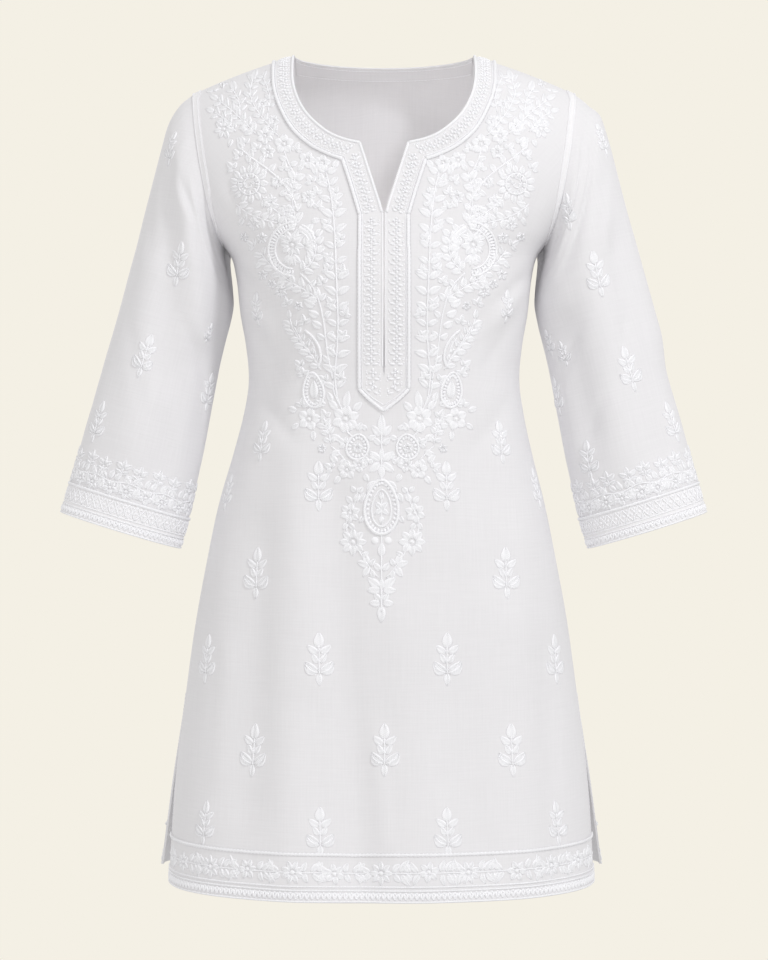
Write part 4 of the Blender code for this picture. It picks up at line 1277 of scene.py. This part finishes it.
# share along a unit, height, turn, length, width and bend of the leaves above the cuff's cord
CUFF_LEAVES = (
    (0.44, 46.5, 162, 13.2, 7.2, 0.08), (0.56, 46.0, 200, 12.6, 6.8, -0.08),
    (0.99, 46.6, 176, 12.6, 7.0, 0.05), (0.13, 47.2, 34, 11.0, 6.2, 0.06),
    (0.29, 47.2, -38, 10.4, 6.2, 0.06), (0.36, 47.2, 34, 11.0, 6.2, 0.06),
    (0.61, 47.2, -40, 11.0, 6.2, 0.06), (0.70, 47.2, 22, 11.0, 6.2, 0.06),
    (0.86, 47.2, 34, 10.4, 6.2, 0.06),
)
CUFF_UNIT = 37.0
CUFF_LATTICE = 8.2


def cuff_border(needle, bare, sleeve):
    """The border round a cuff: on the band itself, and above it on the bare sleeve."""
    border = Border(needle, sleeve[::-1][:64], False)
    size = border.run[-1]
    border.line(1.0, 0.9, 0, size, height=0.9, closed=True)
    border.sawtooth(2.0, 9.0, 0, size, 5.2)
    border.line(10.2, 0.75, 0, size, closed=True)
    border.line(13.6, 0.75, 0, size, closed=True)
    border.line(30.4, 1.7, 0, size, step=2.0, twist=0.35, height=1.3, closed=True)
    count = int(round(size / CUFF_LATTICE))
    gap = size / count
    for k in range(count):
        s = gap * k
        middle = s + gap / 2
        border.stem([(s, 14.8), (middle, 21.6), (s + gap, 28.2)], 0.9, step=2.0, twist=0.2)
        border.stem([(s, 28.2), (middle, 21.5), (s + gap, 14.8)], 0.9, step=2.0, twist=0.2)
        border.knot(s, 21.5, 1.7, 1.3)
        border.knot(middle, 26.4, 1.2, 1.1)
        border.knot(middle, 16.6, 1.2, 1.1)
    border.needle = bare
    count = int(round(size / CUFF_UNIT))
    unit = size / count
    wave = [(unit * k / 6, 46.5 + 1.6 * math.sin(2 * math.pi * k / 6)) for k in range(count * 6)]
    border.stem(wave, 0.9, closed=True)
    for k in range(count):
        s = unit * k
        for share, *flower in CUFF_FLOWERS:
            border.flower(s + unit * share, *flower)
        for share, h, turn, length, width, bend in CUFF_LEAVES:
            border.petal(s + unit * share, h, turn, length, width, bend=bend)
        for share, h in ((0.02, 62.0), (0.47, 60.0)):
            top = s + unit * share
            border.stem([(top - 3, 50), (top - 1, 56), (top, h)], 0.7)
            border.petal(top, h - 0.6, 4, 8.6, 5.2)
            for way in SIDES:
                border.petal(top + 0.5 * way, h - 1.4, way * 60, 9.2, 5.4, bend=0.06 * way)
                border.petal(top - 1 + 0.5 * way, h - 6.6, way * 66, 6.8, 4.2)


class Band(Border):
    """Places on half of the neck band: distance down it from the shoulder, share across it."""

    def __init__(self, needle, side):
        grid = FRONT_HALVES[side][FOOT:, : BAND_COLS + 1][::-1]
        super().__init__(needle, grid, False)
        self.run = run_along(grid[:, BAND_COLS // 2])
        self.share = band_share(FRONT_COLUMNS[: BAND_COLS + 1])

    def place(self, s, h):
        row, down = cell_at(s, self.run)
        col, share = cell_at(h, self.share)
        ends = (between(self.grid[row, c], self.grid[row + 1, c], down) for c in (col, col + 1))
        return between(*ends, share)

    def width(self, s):
        return float(np.linalg.norm(self.place(s, 1.0) - self.place(s, 0.0)))

    def row_run(self, row):
        """Distance down the band of a row of the solid."""
        return float(self.run[len(self.run) - 1 - (row_index(row) - FOOT)])

    def cord(self, share, start, stop, corners, radius, **more):
        """A corded line down the band, broken at the corners that it passes."""
        marks = [start] + [c for c in corners if start < c < stop] + [stop]
        for a, b in zip(marks, marks[1:]):
            count = max(2, int((b - a) / 6))
            self.stem([(a + (b - a) * k / count, share) for k in range(count + 1)], radius, **more)

    def fill(self, start, stop, gap, low, high):
        """Four-petalled flowers in a row, with slanting stitches and knots between them."""
        count = max(1, int(round((stop - start) / gap)))
        step = (stop - start) / count
        middle, reach = (low + high) / 2, (high - low) / 2
        small = {"vein": False, "fine": False}
        for k in range(count):
            s = start + step * (k + 0.5)
            mid = s + step / 2
            width = self.width(s)
            self.knot(s, middle, 1.2, 1.2)
            for turn in (0, 90, 180, 270):
                a = math.radians(turn + 8 * math.sin(k * 1.3))
                ds, dh = math.cos(a), math.sin(a) / width
                tip = (s + ds * 4.1 * step / 9.6, middle + dh * 4.4)
                self.leaf(s + ds * 0.9, middle + dh * 0.9, *tip, 3.1, 0.95, **small)
            for way in SIDES:
                edge = middle + way * reach
                inner = middle + way * 0.6 / width
                self.leaf(mid, inner, mid + 1.6 * way, edge, 2.7, 0.85, **small)
                ends = (mid - 2.4, edge - way * 0.2 / width, s + 1.0, edge - way * 1.0 / width)
                self.leaf(*ends, 2.1, 0.75, **small)
                self.knot(mid - 0.3, edge, 0.85, 0.75)
                self.knot(s, edge, 0.85, 0.75)


def neck_band(needle, side):
    """The sewing on one arm of the neck band, from the shoulder to the placket's foot."""
    arm = Band(needle, side)
    end = arm.run[-1]
    notch = arm.row_run(LOW_ROWS + NOTCH_ROW)
    vee = arm.row_run(LOW_ROWS + 2)
    corners = (notch, vee)
    foot = end - 3.0
    outer = {"step": 2.0, "twist": 0.26, "height": 1.6}
    fine = {"step": 2.0, "twist": 0.15, "height": 0.7}
    arm.cord(0.915, 0.0, foot, corners, 2.0, **outer)
    arm.cord(0.80, 0.0, foot - 4, corners, 0.55, **fine)
    arm.cord(0.055, 0.0, vee, corners, 1.5, step=2.4, twist=0.0, height=1.3)
    arm.cord(0.035, vee, end - 36, corners, 0.8, step=2.0, twist=0.1, height=0.7)
    arm.stem([(foot, 0.915), (end - 2.4, 0.5), (end - 2.4, 0.0)], 2.0, **outer)
    arm.stem([(foot - 4.5, 0.80), (end - 6.6, 0.4), (end - 6.6, 0.0)], 0.55, **fine)
    arm.fill(4.0, notch - 2, 9.4, 0.20, 0.70)
    arm.fill(notch + 3, vee - 2, 9.4, 0.20, 0.70)
    arm.fill(vee + 3, end - 37, 9.4, 0.13, 0.71)
    arm.fill(end - 35, end - 12, 9.4, 0.10, 0.62)


# ---------------------------------------------------------------- the yoke's garden
# leaf length and width, gap, start, spread and path of the vines, from the placket outward
PLACKET_VINE = (
    13.6, 5.6, 15.6, 10, 60, (
        (337, 398), (335, 374), (337, 350), (338, 322), (337, 292), (336, 265), (335, 240),
        (333, 212), (330, 190), (326, 172),
    ),
)
YOKE_VINES = (
    (10.6, 6, 10.5, 5, 52, ((297, 226), (293, 206), (293, 188), (297, 172))),
    (9.4, 4.5, 7.4, 4, 52, ((278, 136), (264, 120), (254, 105), (250, 92), (253, 79))),
    (9.2, 4.4, 7.2, 3, 52, ((256, 134), (243, 121), (231, 110), (218, 100))),
    (8.2, 4.2, 7.6, 5, 48, ((268, 112), (270, 98), (266, 84), (262, 76))),
    (8.6, 4.2, 7, 3, 50, ((240, 114), (239, 101), (233, 90))),
    (8.4, 4.2, 7.2, 3, 50, ((236, 132), (226, 120), (214, 112))),
    (9.6, 5.2, 8.6, 3, 50, ((236, 204), (248, 213), (262, 219), (278, 223))),
    (9.4, 5, 8.8, 4, 48, ((262, 196), (270, 206), (281, 214), (292, 222))),
    (9.6, 5.4, 7.6, 2, 52, ((302, 272), (311, 263), (316, 250), (315, 236))),
    (10.2, 5.4, 8.6, 3, 48, ((290, 281), (278, 272), (268, 262), (259, 250))),
    (11, 5.8, 9.4, 2, 44, ((320, 300), (308, 292), (294, 284), (280, 280))),
    (8.4, 4.6, 8, 2, 52, ((331, 444), (329, 434), (325, 425))),
)
COMMA_OUTER_VINE = (
    10.4, 5.4, 8.2, 4, 50, ((321, 370), (312, 356), (302, 343), (294, 330), (290, 318)),
)
COMMA_INNER_VINE = (
    7, 4, 8, 6, 46, ((319, 366), (310, 352), (301, 339), (294, 326)),
)
# radius and path of the bare stems
YOKE_STEMS = (
    (0.8, ((284, 150), (288, 162), (294, 174))),
    (1.1, ((240, 148), (252, 158), (266, 168), (280, 180), (292, 196), (298, 212))),
    (1, ((300, 273), (310, 283), (318, 298), (323, 318), (326, 340), (328, 356), (333, 380))),
    (0.8, ((308, 338), (314, 346), (316, 356))), (0.9, ((337, 396), (340, 405), (344, 414))),
    (0.9, ((333, 380), (334, 392), (340, 406))), (1, ((345, 425), (349, 434), (354, 437))),
    (0.9, ((331, 446), (338, 452), (346, 462), (350, 470))),
    (0.8, ((350, 540), (346, 525), (350, 512), (356, 500), (358, 488))),
    (0.9, ((379, 578), (370, 568), (361, 554), (355, 544))),
)
# x, y, radius, petals and turn of the yoke's flowers
YOKE_FLOWERS = (
    (322, 163, 9, 5, 10), (284, 144, 10.5, 5, 0), (307, 160, 9.2, 5, 20), (291, 187, 8.4, 6, 0),
    (308, 197, 7.6, 5, 10), (270, 201, 7.6, 5, 0), (287, 211, 7.4, 5, 24), (268, 152, 7.6, 5, 0),
    (224, 129, 10.6, 7, 0), (248, 126, 8.6, 5, 12), (265, 136, 9.4, 6, 0), (273, 121, 7, 5, 30),
    (262, 104, 6, 5, 30), (277, 182, 6.8, 6, 0), (254, 224, 7.4, 6, 15), (262, 238, 6, 5, 0),
    (292, 245, 12.4, 8, 8), (263, 275, 5.6, 5, 0), (272, 284, 5.2, 5, 30), (281, 291, 7.2, 6, 0),
    (309, 419, 12, 5, 14), (345.5, 419, 14.5, 6, 8), (357.5, 448, 5.8, 5, 10), (347, 470, 10, 5, 0),
    (359, 465, 7.8, 5, 24), (350, 513, 10.6, 6, 10), (353, 542, 14, 8, 0),
)
# x, y, turn, length and width of its single petals, straight and curved
YOKE_PETALS = (
    (326, 172, -48, 12, 6.6), (327, 173, 62, 11, 6), (333, 168, 30, 10, 5.6), (287, 160, -70, 9, 5),
    (290, 166, 60, 9, 5), (309, 164, 130, 9, 5), (303, 164, 215, 9, 5), (313, 166, 160, 10, 5.2),
    (235, 91, -14, 11, 6), (254, 80, 14, 11, 6), (218, 100, -56, 10, 5.4), (214, 112, -66, 9, 5),
    (232, 139, 200, 9, 5), (238, 137, 160, 9, 5), (244, 218, 214, 9, 5), (308, 208, 32, 11, 5.6),
    (311, 222, 74, 10, 5.2), (306, 232, 40, 11, 5.6), (292, 255, 196, 12, 5.6),
    (292, 255, 164, 12, 5.6), (292, 255, 228, 12, 5.6), (292, 255, 132, 12, 5.6),
    (292, 241, -70, 15.5, 5), (292, 241, 64, 15.5, 5), (292, 241, -34, 15.5, 5),
    (292, 241, 30, 15.5, 5), (305, 246, 8, 11, 5.4), (305, 246, 44, 11, 5.4),
    (305, 246, 80, 11, 5.4), (305, 246, 116, 11, 5.4), (262, 262, 228, 9, 4.8),
    (290, 319, -8, 10, 5.4), (291, 328, -84, 8.4, 4.6), (345, 409, 10, 19, 6.6),
    (337, 410, -38, 14, 6), (353, 411, 44, 13, 6), (332, 402, -24, 11, 5.4), (326, 405, -70, 10, 5),
    (325, 425, -20, 8, 4.6), (367, 430, -50, 8, 4.4), (368, 440, 60, 9, 5), (350, 432, -8, 11, 5.8),
    (357, 431, 30, 10, 5.4), (341, 440, -64, 11, 5.6), (341, 452, -104, 11, 5.6),
    (346, 459, -140, 10, 5.2), (369, 455, 112, 9, 5), (322, 407, -44, 10, 5),
    (297, 411, -70, 10, 5.2), (299, 424, 236, 9, 4.8), (313, 431, 176, 10, 5),
    (330, 423, 214, 10, 5), (337, 463, -40, 11, 5.6), (340, 476, 215, 10, 5.2),
    (364, 474, 150, 9, 5), (355, 502, 24, 10, 5.4), (352, 503, -40, 9, 5), (358, 493, 40, 8, 4.6),
    (356, 492, -44, 8, 4.6), (347, 523, 210, 8, 4.6), (349, 524, 130, 8, 4.6),
    (369, 566, -70, 13, 5.8), (368, 565, -18, 13, 5.8), (369, 567, 212, 12, 5.6),
    (370, 566, 34, 9, 4.6), (372, 570, 172, 9, 4.6), (362, 556, 60, 8, 4.4),
)
YOKE_CURVED_PETALS = (
    (243, 150, -28, 10.2, 5.2), (247, 154, 168, 10.2, 5.2), (252, 158, -4, 10.2, 5.2),
    (256, 161, 190, 10.2, 5.2), (261, 164, 20, 10.2, 5.2), (265, 168, 200, 10.2, 5.2),
    (270, 172, 34, 10.2, 5.2), (277, 178, 215, 10.2, 5.2), (282, 184, 60, 10.2, 5.2),
    (287, 190, 236, 10.2, 5.2), (315, 306, -62, 13, 6.76), (319, 316, -64, 12.5, 6.5),
    (322, 327, -60, 12, 6.24), (325, 339, -56, 10, 5.2), (311, 287, 34, 9, 4.68),
    (320, 301, 40, 10, 5.2), (325, 318, 42, 9.5, 4.94), (328, 338, 40, 9, 4.68),
    (330, 362, -48, 10, 5.2), (331, 372, 46, 9, 4.68), (329, 351, 44, 9, 4.68),
)
CURVED_BEND = 0.06
LONG_VINE_CLEAR = 14


def yoke(hand):
    """One side of the embroidery on the chest, as it is seen from the front."""
    hand.vine(*PLACKET_VINE, radius=1.05)
    path = smooth_path(np.array(PLACKET_VINE[-1], float), 5.0)
    hand.marks += [(x + LONG_VINE_CLEAR, y) for x, y in path]
    for vine in YOKE_VINES:
        hand.vine(*vine)
    hand.vine(*COMMA_OUTER_VINE, sides=(-1,))
    hand.vine(*COMMA_INNER_VINE, sides=(1,))
    for radius, path in YOKE_STEMS:
        hand.stem(path, radius)
    for flower in YOKE_FLOWERS:
        hand.flower(*flower)
    for petal in YOKE_PETALS:
        hand.petal(*petal)
    for petal in YOKE_CURVED_PETALS:
        hand.petal(*petal, bend=CURVED_BEND)
    hand.rose(249, 184, 17.5)
    # the round motif
    hand.crescent(294, 249, 50, 54, 10, 172, 352)
    hand.crescent(294, 249, 44, 50, 10, 6, 60)
    # the comma and its row of knots
    comma = ((305, 330), (313, 337), (319, 347), (321, 358), (318, 368))
    hand.stem(comma, 1.5, step=2.2, twist=0.15)
    for k in range(7):
        hand.knot(310 + 1.152 * k, 334 + 4.3 * k, 1.3, 1.0)
    # the rings at the foot
    hand.ring(313.5, 390, 22, 35, lean=-6, point=0.35, teeth=24, radius=1.5)
    hand.leaf(314.5, 399, 313.5, 380, 7.6, 1.2)
    hand.ring(357.5, 447, 23, 25, lean=10, point=0.2, teeth=16, radius=1.4)


# the outline of the worked ground between the motifs
GROUND = (
    (213, 84), (236, 80), (258, 73), (268, 73), (273, 106), (284, 131), (301, 147), (321, 158),
    (337, 163), (343, 188), (352, 216), (352, 384), (348, 402), (356, 414), (368, 428), (374, 444),
    (374, 474), (350, 482), (332, 470), (320, 446), (304, 432), (298, 420), (303, 372), (286, 330),
    (276, 292), (252, 268), (243, 235), (231, 205), (228, 170), (234, 152), (214, 130),
)
# left, top, width and height of the box that holds it
GROUND_BOX = (208, 76, 172, 410)


def inside(x, y, outline):
    """True where a place lies inside a closed outline."""
    found = False
    for (ax, ay), (bx, by) in zip(outline, outline[1:] + outline[:1]):
        if (ay > y) != (by > y) and x < ax + (bx - ax) * (y - ay) / (by - ay):
            found = not found
    return found


def ground(hand, gap=6.4, clear=4.8):
    """Small leaves and knots that close the open cloth between the larger motifs."""
    left, top, wide, tall = GROUND_BOX
    for r in range(int(tall / gap)):
        for c in range(int(wide / gap)):
            k = r * 37 + c * 11
            x = left + gap * (c + 0.5 * (r % 2)) + 1.2 * math.sin(k * 1.9)
            y = top + gap * r + 1.2 * math.sin(k * 2.7)
            if not inside(x, y, GROUND):
                continue
            near = min(math.hypot(x - a, y - b) for a, b in hand.marks)
            if near < clear:
                continue
            turn = 40 * math.sin(k * 0.7) - 20
            if near > clear + 3.2:
                hand.flower(x, y, 4.8, 5, turn)
                continue
            for lean, length, width in ((0, 9.4, 5.0), (74, 7.2, 4.2), (-74, 7.2, 4.2)):
                hand.petal(x, y + 3.0, turn + lean, length, width)


MEDALLION_X = 381.5
# distance out, height, turn, length and width of the medallion's paired petals
MEDALLION_PETALS = (
    (1, 436, 40, 14, 6.2), (1, 445, 46, 11, 5.0), (1, 461, 50, 15, 6.4), (1, 463, 128, 15, 6.4),
    (18, 516, 150, 8, 4.2), (1, 571, 40, 11, 5.2), (1, 588, 52, 17, 7.2), (1, 590, 92, 14, 6.4),
    (1, 601, 40, 10, 5.0), (1, 603, 92, 11.5, 6.0), (0, 509, 40, 9.5, 4.6), (0, 509, 128, 9.5, 4.6),
)
# foot, tip, width and height of the leaves on its middle line
MEDALLION_LEAVES = (
    (433, 414, 6.8, 1.2), (459, 447, 4.4, 1.0), (466, 479, 5.6, 1.0), (557, 542, 6.4, 1.2),
    (590, 578, 4.6, 1.0), (606, 623, 7.0, 1.25), (500, 491.5, 4.2, 1.0), (516, 524.5, 4.2, 1.0),
)


def medallion(hand):
    """The central stem and its drop-shaped medallion."""
    x = MEDALLION_X
    hand.stem([(x, 422), (x, 470), (x, 482)], 1.1)
    hand.stem([(x, 533), (x, 570), (x, 612)], 1.1)
    hand.stem([(x, 494), (x, 523)], 0.8)
    for foot, tip, width, height in MEDALLION_LEAVES:
        hand.leaf(x, foot, x, tip, width, height)
    for side in SIDES:
        for out, y, turn, length, width in MEDALLION_PETALS:
            hand.petal(x + side * out, y, side * turn, length, width)
        hand.leaf(x + side * 2, 482, x + side * 15, 494, 5.0, bend=0.22 * side)
        hand.leaf(x + side * 16, 493, x + side * 20.5, 503, 4.4, bend=0.1 * side)
        hand.knot(x + side * 6.6, 540.5, 4.1, 1.8)
    hand.ring(x, 507, 36, 54, point=0.30, teeth=30, radius=1.9)
    hand.ring(x, 508, 21, 37, point=0.30, radius=1.1)


# ---------------------------------------------------------------- the sprigs
# x, y and scale on the front and on the back, as they are seen from the front
FRONT_SPRIGS = (
    (318.5, 485, 0.95), (446.5, 485, 0.95), (262.5, 440, 0.8), (501, 441, 0.84), (228.5, 491, 0.72),
    (536, 487, 0.8), (257, 572, 0.98), (506, 572, 0.98), (207, 658, 0.94), (319, 658, 1),
    (447, 658, 1), (555, 658, 0.94), (254, 749, 1), (384.5, 749, 1), (512, 749, 1),
    (205, 822, 0.84), (320, 831, 0.94), (447.5, 831, 0.94), (557, 822, 0.84), (256, 309, 0.66),
    (508.5, 306, 0.68),
)
BACK_SPRIGS = (
    (256, 240, 0.95), (384, 200, 1), (512, 240, 0.95), (320, 320, 1), (448, 320, 1),
    (262, 410, 0.9), (384, 405, 1), (506, 410, 0.9), (320, 490, 1), (448, 490, 1), (240, 572, 0.95),
    (384, 572, 1), (528, 572, 0.95), (207, 658, 0.94), (319, 658, 1), (449, 658, 1),
    (561, 658, 0.94), (254, 749, 1), (384, 749, 1), (514, 749, 1),
)
# x, y, scale and lean in degrees on each sleeve's front and back
SLEEVE_SPRIGS = {
    -1: (
        (171, 147, 0.7, 10), (179, 263, 0.86, 13), (145, 355, 0.86, 18), (209, 391, 0.76, 8),
        (98, 421, 0.82, 12), (209, 333, 0.4, 14),
    ),
    1: (
        (602, 138, 0.7, -10), (568, 211, 0.74, -12), (597, 273, 0.9, -14), (549, 342, 0.52, -8),
        (563, 353, 0.5, -16), (629, 368, 0.9, -14), (557, 395, 0.76, -6), (672, 421, 0.82, -14),
        (588, 459, 0.76, -8),
    ),
}
SLEEVE_BACK_SPRIGS = {
    -1: (
        (168, 190, 0.7, 8), (178, 272, 0.82, 8), (140, 345, 0.82, 10), (196, 380, 0.76, 4),
        (112, 421, 0.8, 10),
    ),
    1: (
        (600, 190, 0.7, -8), (590, 272, 0.82, -8), (628, 345, 0.82, -10), (572, 380, 0.76, -4),
        (656, 421, 0.8, -10),
    ),
}
needlework = []


def finish_needle(needle, name):
    needlework.append(needle.build(name, THREAD))


chest = Needle(cloths["front_panel"].tree())
for mirror in (False, True):
    hand = Front(chest, mirror)
    yoke(hand)
    ground(hand)
medallion(Front(chest))
finish_needle(chest, "yoke_embroidery")

for name, face, places in (("front", -1, FRONT_SPRIGS), ("back", 1, BACK_SPRIGS)):
    sprigs = Needle(cloths[name + "_panel"].tree())
    for x, y, scale in places:
        Patch(sprigs, x, y, face).sprig(scale)
    finish_needle(sprigs, name + "_sprigs")

neck = Needle(band.tree(NECK_WALL[1]))
for side in SIDES:
    neck_band(neck, side)
finish_needle(neck, "neck_band_embroidery")

for name, halves, face in PANELS:
    edging = Needle(cloths[name + "_panel"].tree(HEM_WALL[1]))
    hem_border(edging, halves)
    finish_needle(edging, "hem_embroidery_" + name)

for side, word in WORDS:
    sleeve = cloths["sleeve_" + word]
    edging, arm = Needle(sleeve.tree(CUFF_WALL[1])), Needle(sleeve.tree())
    cuff_border(edging, arm, SLEEVES[side])
    finish_needle(edging, "cuff_embroidery_" + word)
    for face, places in ((-1, SLEEVE_SPRIGS[side]), (1, SLEEVE_BACK_SPRIGS[side])):
        for x, y, scale, lean in places:
            Patch(arm, x, y, face).sprig(scale, lean)
    finish_needle(arm, "sleeve_sprigs_" + word)


def sew(needle, path):
    """A line of machine stitches."""
    needle.stem(path, 0.5, height=0.42, step=1.8, twist=0.45)


for name, halves, face in PANELS:
    cloth = cloths[name + "_panel"]
    seams, strips = Needle(cloth.tree()), Needle(cloth.tree(STRIP_WALL[1]))
    for side in SIDES:
        inner, outer = halves[side][:, -4], halves[side][:, -1]
        vent, armhole = slice(BAND_TOP, VENT_END), slice(ARM_FROM, -1)
        for share in (0.0, 0.88):
            sew(seams, (outer * share + inner * (1 - share))[vent])
        for share in (0.16, 0.86):
            sew(strips, (outer * share + inner * (1 - share))[armhole])
    finish_needle(seams, "vent_stitching_" + name)
    finish_needle(strips, "armhole_stitching_" + name)

# the back neck facing is sewn on its inner side
lining = Needle(neck_facing([True, False]).tree(-FACING_WALL[0]))
left, right = cloths["back_neck_facing"].grids
path = np.concatenate((left[:, ::-1], right[:, 1:]), axis=1)
for share in (0.12, 0.80):
    sew(lining, path[0] * (1 - share) + path[-1] * share)
finish_needle(lining, "back_neck_stitching")

# ---------------------------------------------------------------- the frame's bookkeeping
ROOT = "root"
for node, piece in pieces.items():
    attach(piece, ROOT)
    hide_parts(node)
for piece in needlework:
    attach(piece, ROOT)


# ---------------------------------------------------------------- stage, light and camera
CREAM = (0.905, 0.871, 0.783, 1.0)
FLOOR_Z = -1.35
FLOOR_RADIUS = 5.0
DOME_RADIUS = 6.0
DOME_FOOT_Z = FLOOR_Z - 0.02
WORLD_COLOUR = (1.0, 0.99, 0.975, 1.0)
WORLD_LIGHT = 0.722
# name, place, aim, size, power and colour
LAMPS = (
    ("key", (1.8, -2.1, 1.9), (0.0, 0.0, -0.4), 0.5, 38.0, (0.99, 0.99, 1.0)),
    ("front", (-1.3, -2.7, -0.2), (0.0, 0.0, -0.4), 1.6, 10.5, (1.0, 0.985, 0.975)),
    ("side", (2.6, -1.2, -0.2), (0.0, 0.0, -0.4), 1.2, 2.0, (1.0, 1.0, 1.0)),
    ("within", (0.0, -0.02, -0.24), (0.0, 0.05, 0.08), 0.09, 0.15, (1.0, 0.965, 0.93)),
    ("behind", (-1.3, 2.7, 0.9), (0.0, 0.0, -0.4), 1.6, 12.0, (1.0, 1.0, 1.0)),
)
SENSOR = 36.0
VIEW_HEIGHT = 0.96


def stage_object(name, points, faces):
    """An evenly glowing surface behind or below the part, which gives it no light."""
    material = bpy.data.materials.new(name)
    material.use_nodes = True
    tree = material.node_tree
    tree.nodes.clear()
    glow = tree.nodes.new("ShaderNodeEmission")
    glow.inputs["Color"].default_value = CREAM
    glow.inputs["Strength"].default_value = 1.0
    out = tree.nodes.new("ShaderNodeOutputMaterial")
    tree.links.new(glow.outputs["Emission"], out.inputs["Surface"])
    mesh = bpy.data.meshes.new(name)
    mesh.from_pydata(points, [], faces)
    mesh.update()
    mesh.materials.append(material)
    thing = bpy.data.objects.new(name, mesh)
    bpy.context.scene.collection.objects.link(thing)
    thing.visible_diffuse = False
    thing.visible_glossy = False
    thing.visible_transmission = False
    thing.visible_shadow = False


def circle(radius, z, count):
    turns = [2 * math.pi * k / count for k in range(count)]
    return [(radius * math.cos(turn), radius * math.sin(turn), z) for turn in turns]


def dome(radius, low_z, rows=24, cols=48):
    """A closed bowl around everything, seen from inside."""
    points = []
    for i in range(rows + 1):
        rise = math.pi * i / rows
        points += circle(radius * math.sin(rise), max(low_z, radius * math.cos(rise)), cols)
    index = np.arange(len(points)).reshape(rows + 1, cols)
    beside = np.roll(index, -1, axis=1)
    quads = np.stack((index[:-1], beside[:-1], beside[1:], index[1:]), axis=-1)
    return points, quads.reshape(-1, 4).tolist()


stage_object("backdrop", *dome(DOME_RADIUS, DOME_FOOT_Z))
stage_object("floor", circle(FLOOR_RADIUS, FLOOR_Z, 64), [list(range(64))])

world = bpy.data.worlds.new("studio")
world.use_nodes = True
world.node_tree.nodes["Background"].inputs["Color"].default_value = WORLD_COLOUR
world.node_tree.nodes["Background"].inputs["Strength"].default_value = WORLD_LIGHT
bpy.context.scene.world = world


def soft_light(name, place, aim, size, power, colour):
    light = bpy.data.lights.new(name, "AREA")
    light.shape = "DISK"
    light.size = size
    light.energy = power
    light.color = colour
    lamp = bpy.data.objects.new(name, light)
    lamp.location = place
    lamp.visible_camera = False
    lamp.rotation_euler = (Vector(aim) - Vector(place)).to_track_quat("-Z", "Y").to_euler()
    bpy.context.scene.collection.objects.link(lamp)


for lamp in LAMPS:
    soft_light(*lamp)

lens = bpy.data.cameras.new("camera")
lens.sensor_width = SENSOR
lens.lens = SENSOR * -CAMERA_Y * MM / VIEW_HEIGHT
lens.clip_end = 50.0
camera = bpy.data.objects.new("camera", lens)
camera.location = (0.0, CAMERA_Y * MM, CAMERA_Z * MM)
camera.rotation_euler = (math.pi / 2, 0.0, 0.0)
bpy.context.scene.collection.objects.link(camera)
scene = bpy.context.scene
scene.camera = camera
scene.view_settings.view_transform = "Standard"
scene.view_settings.look = "None"
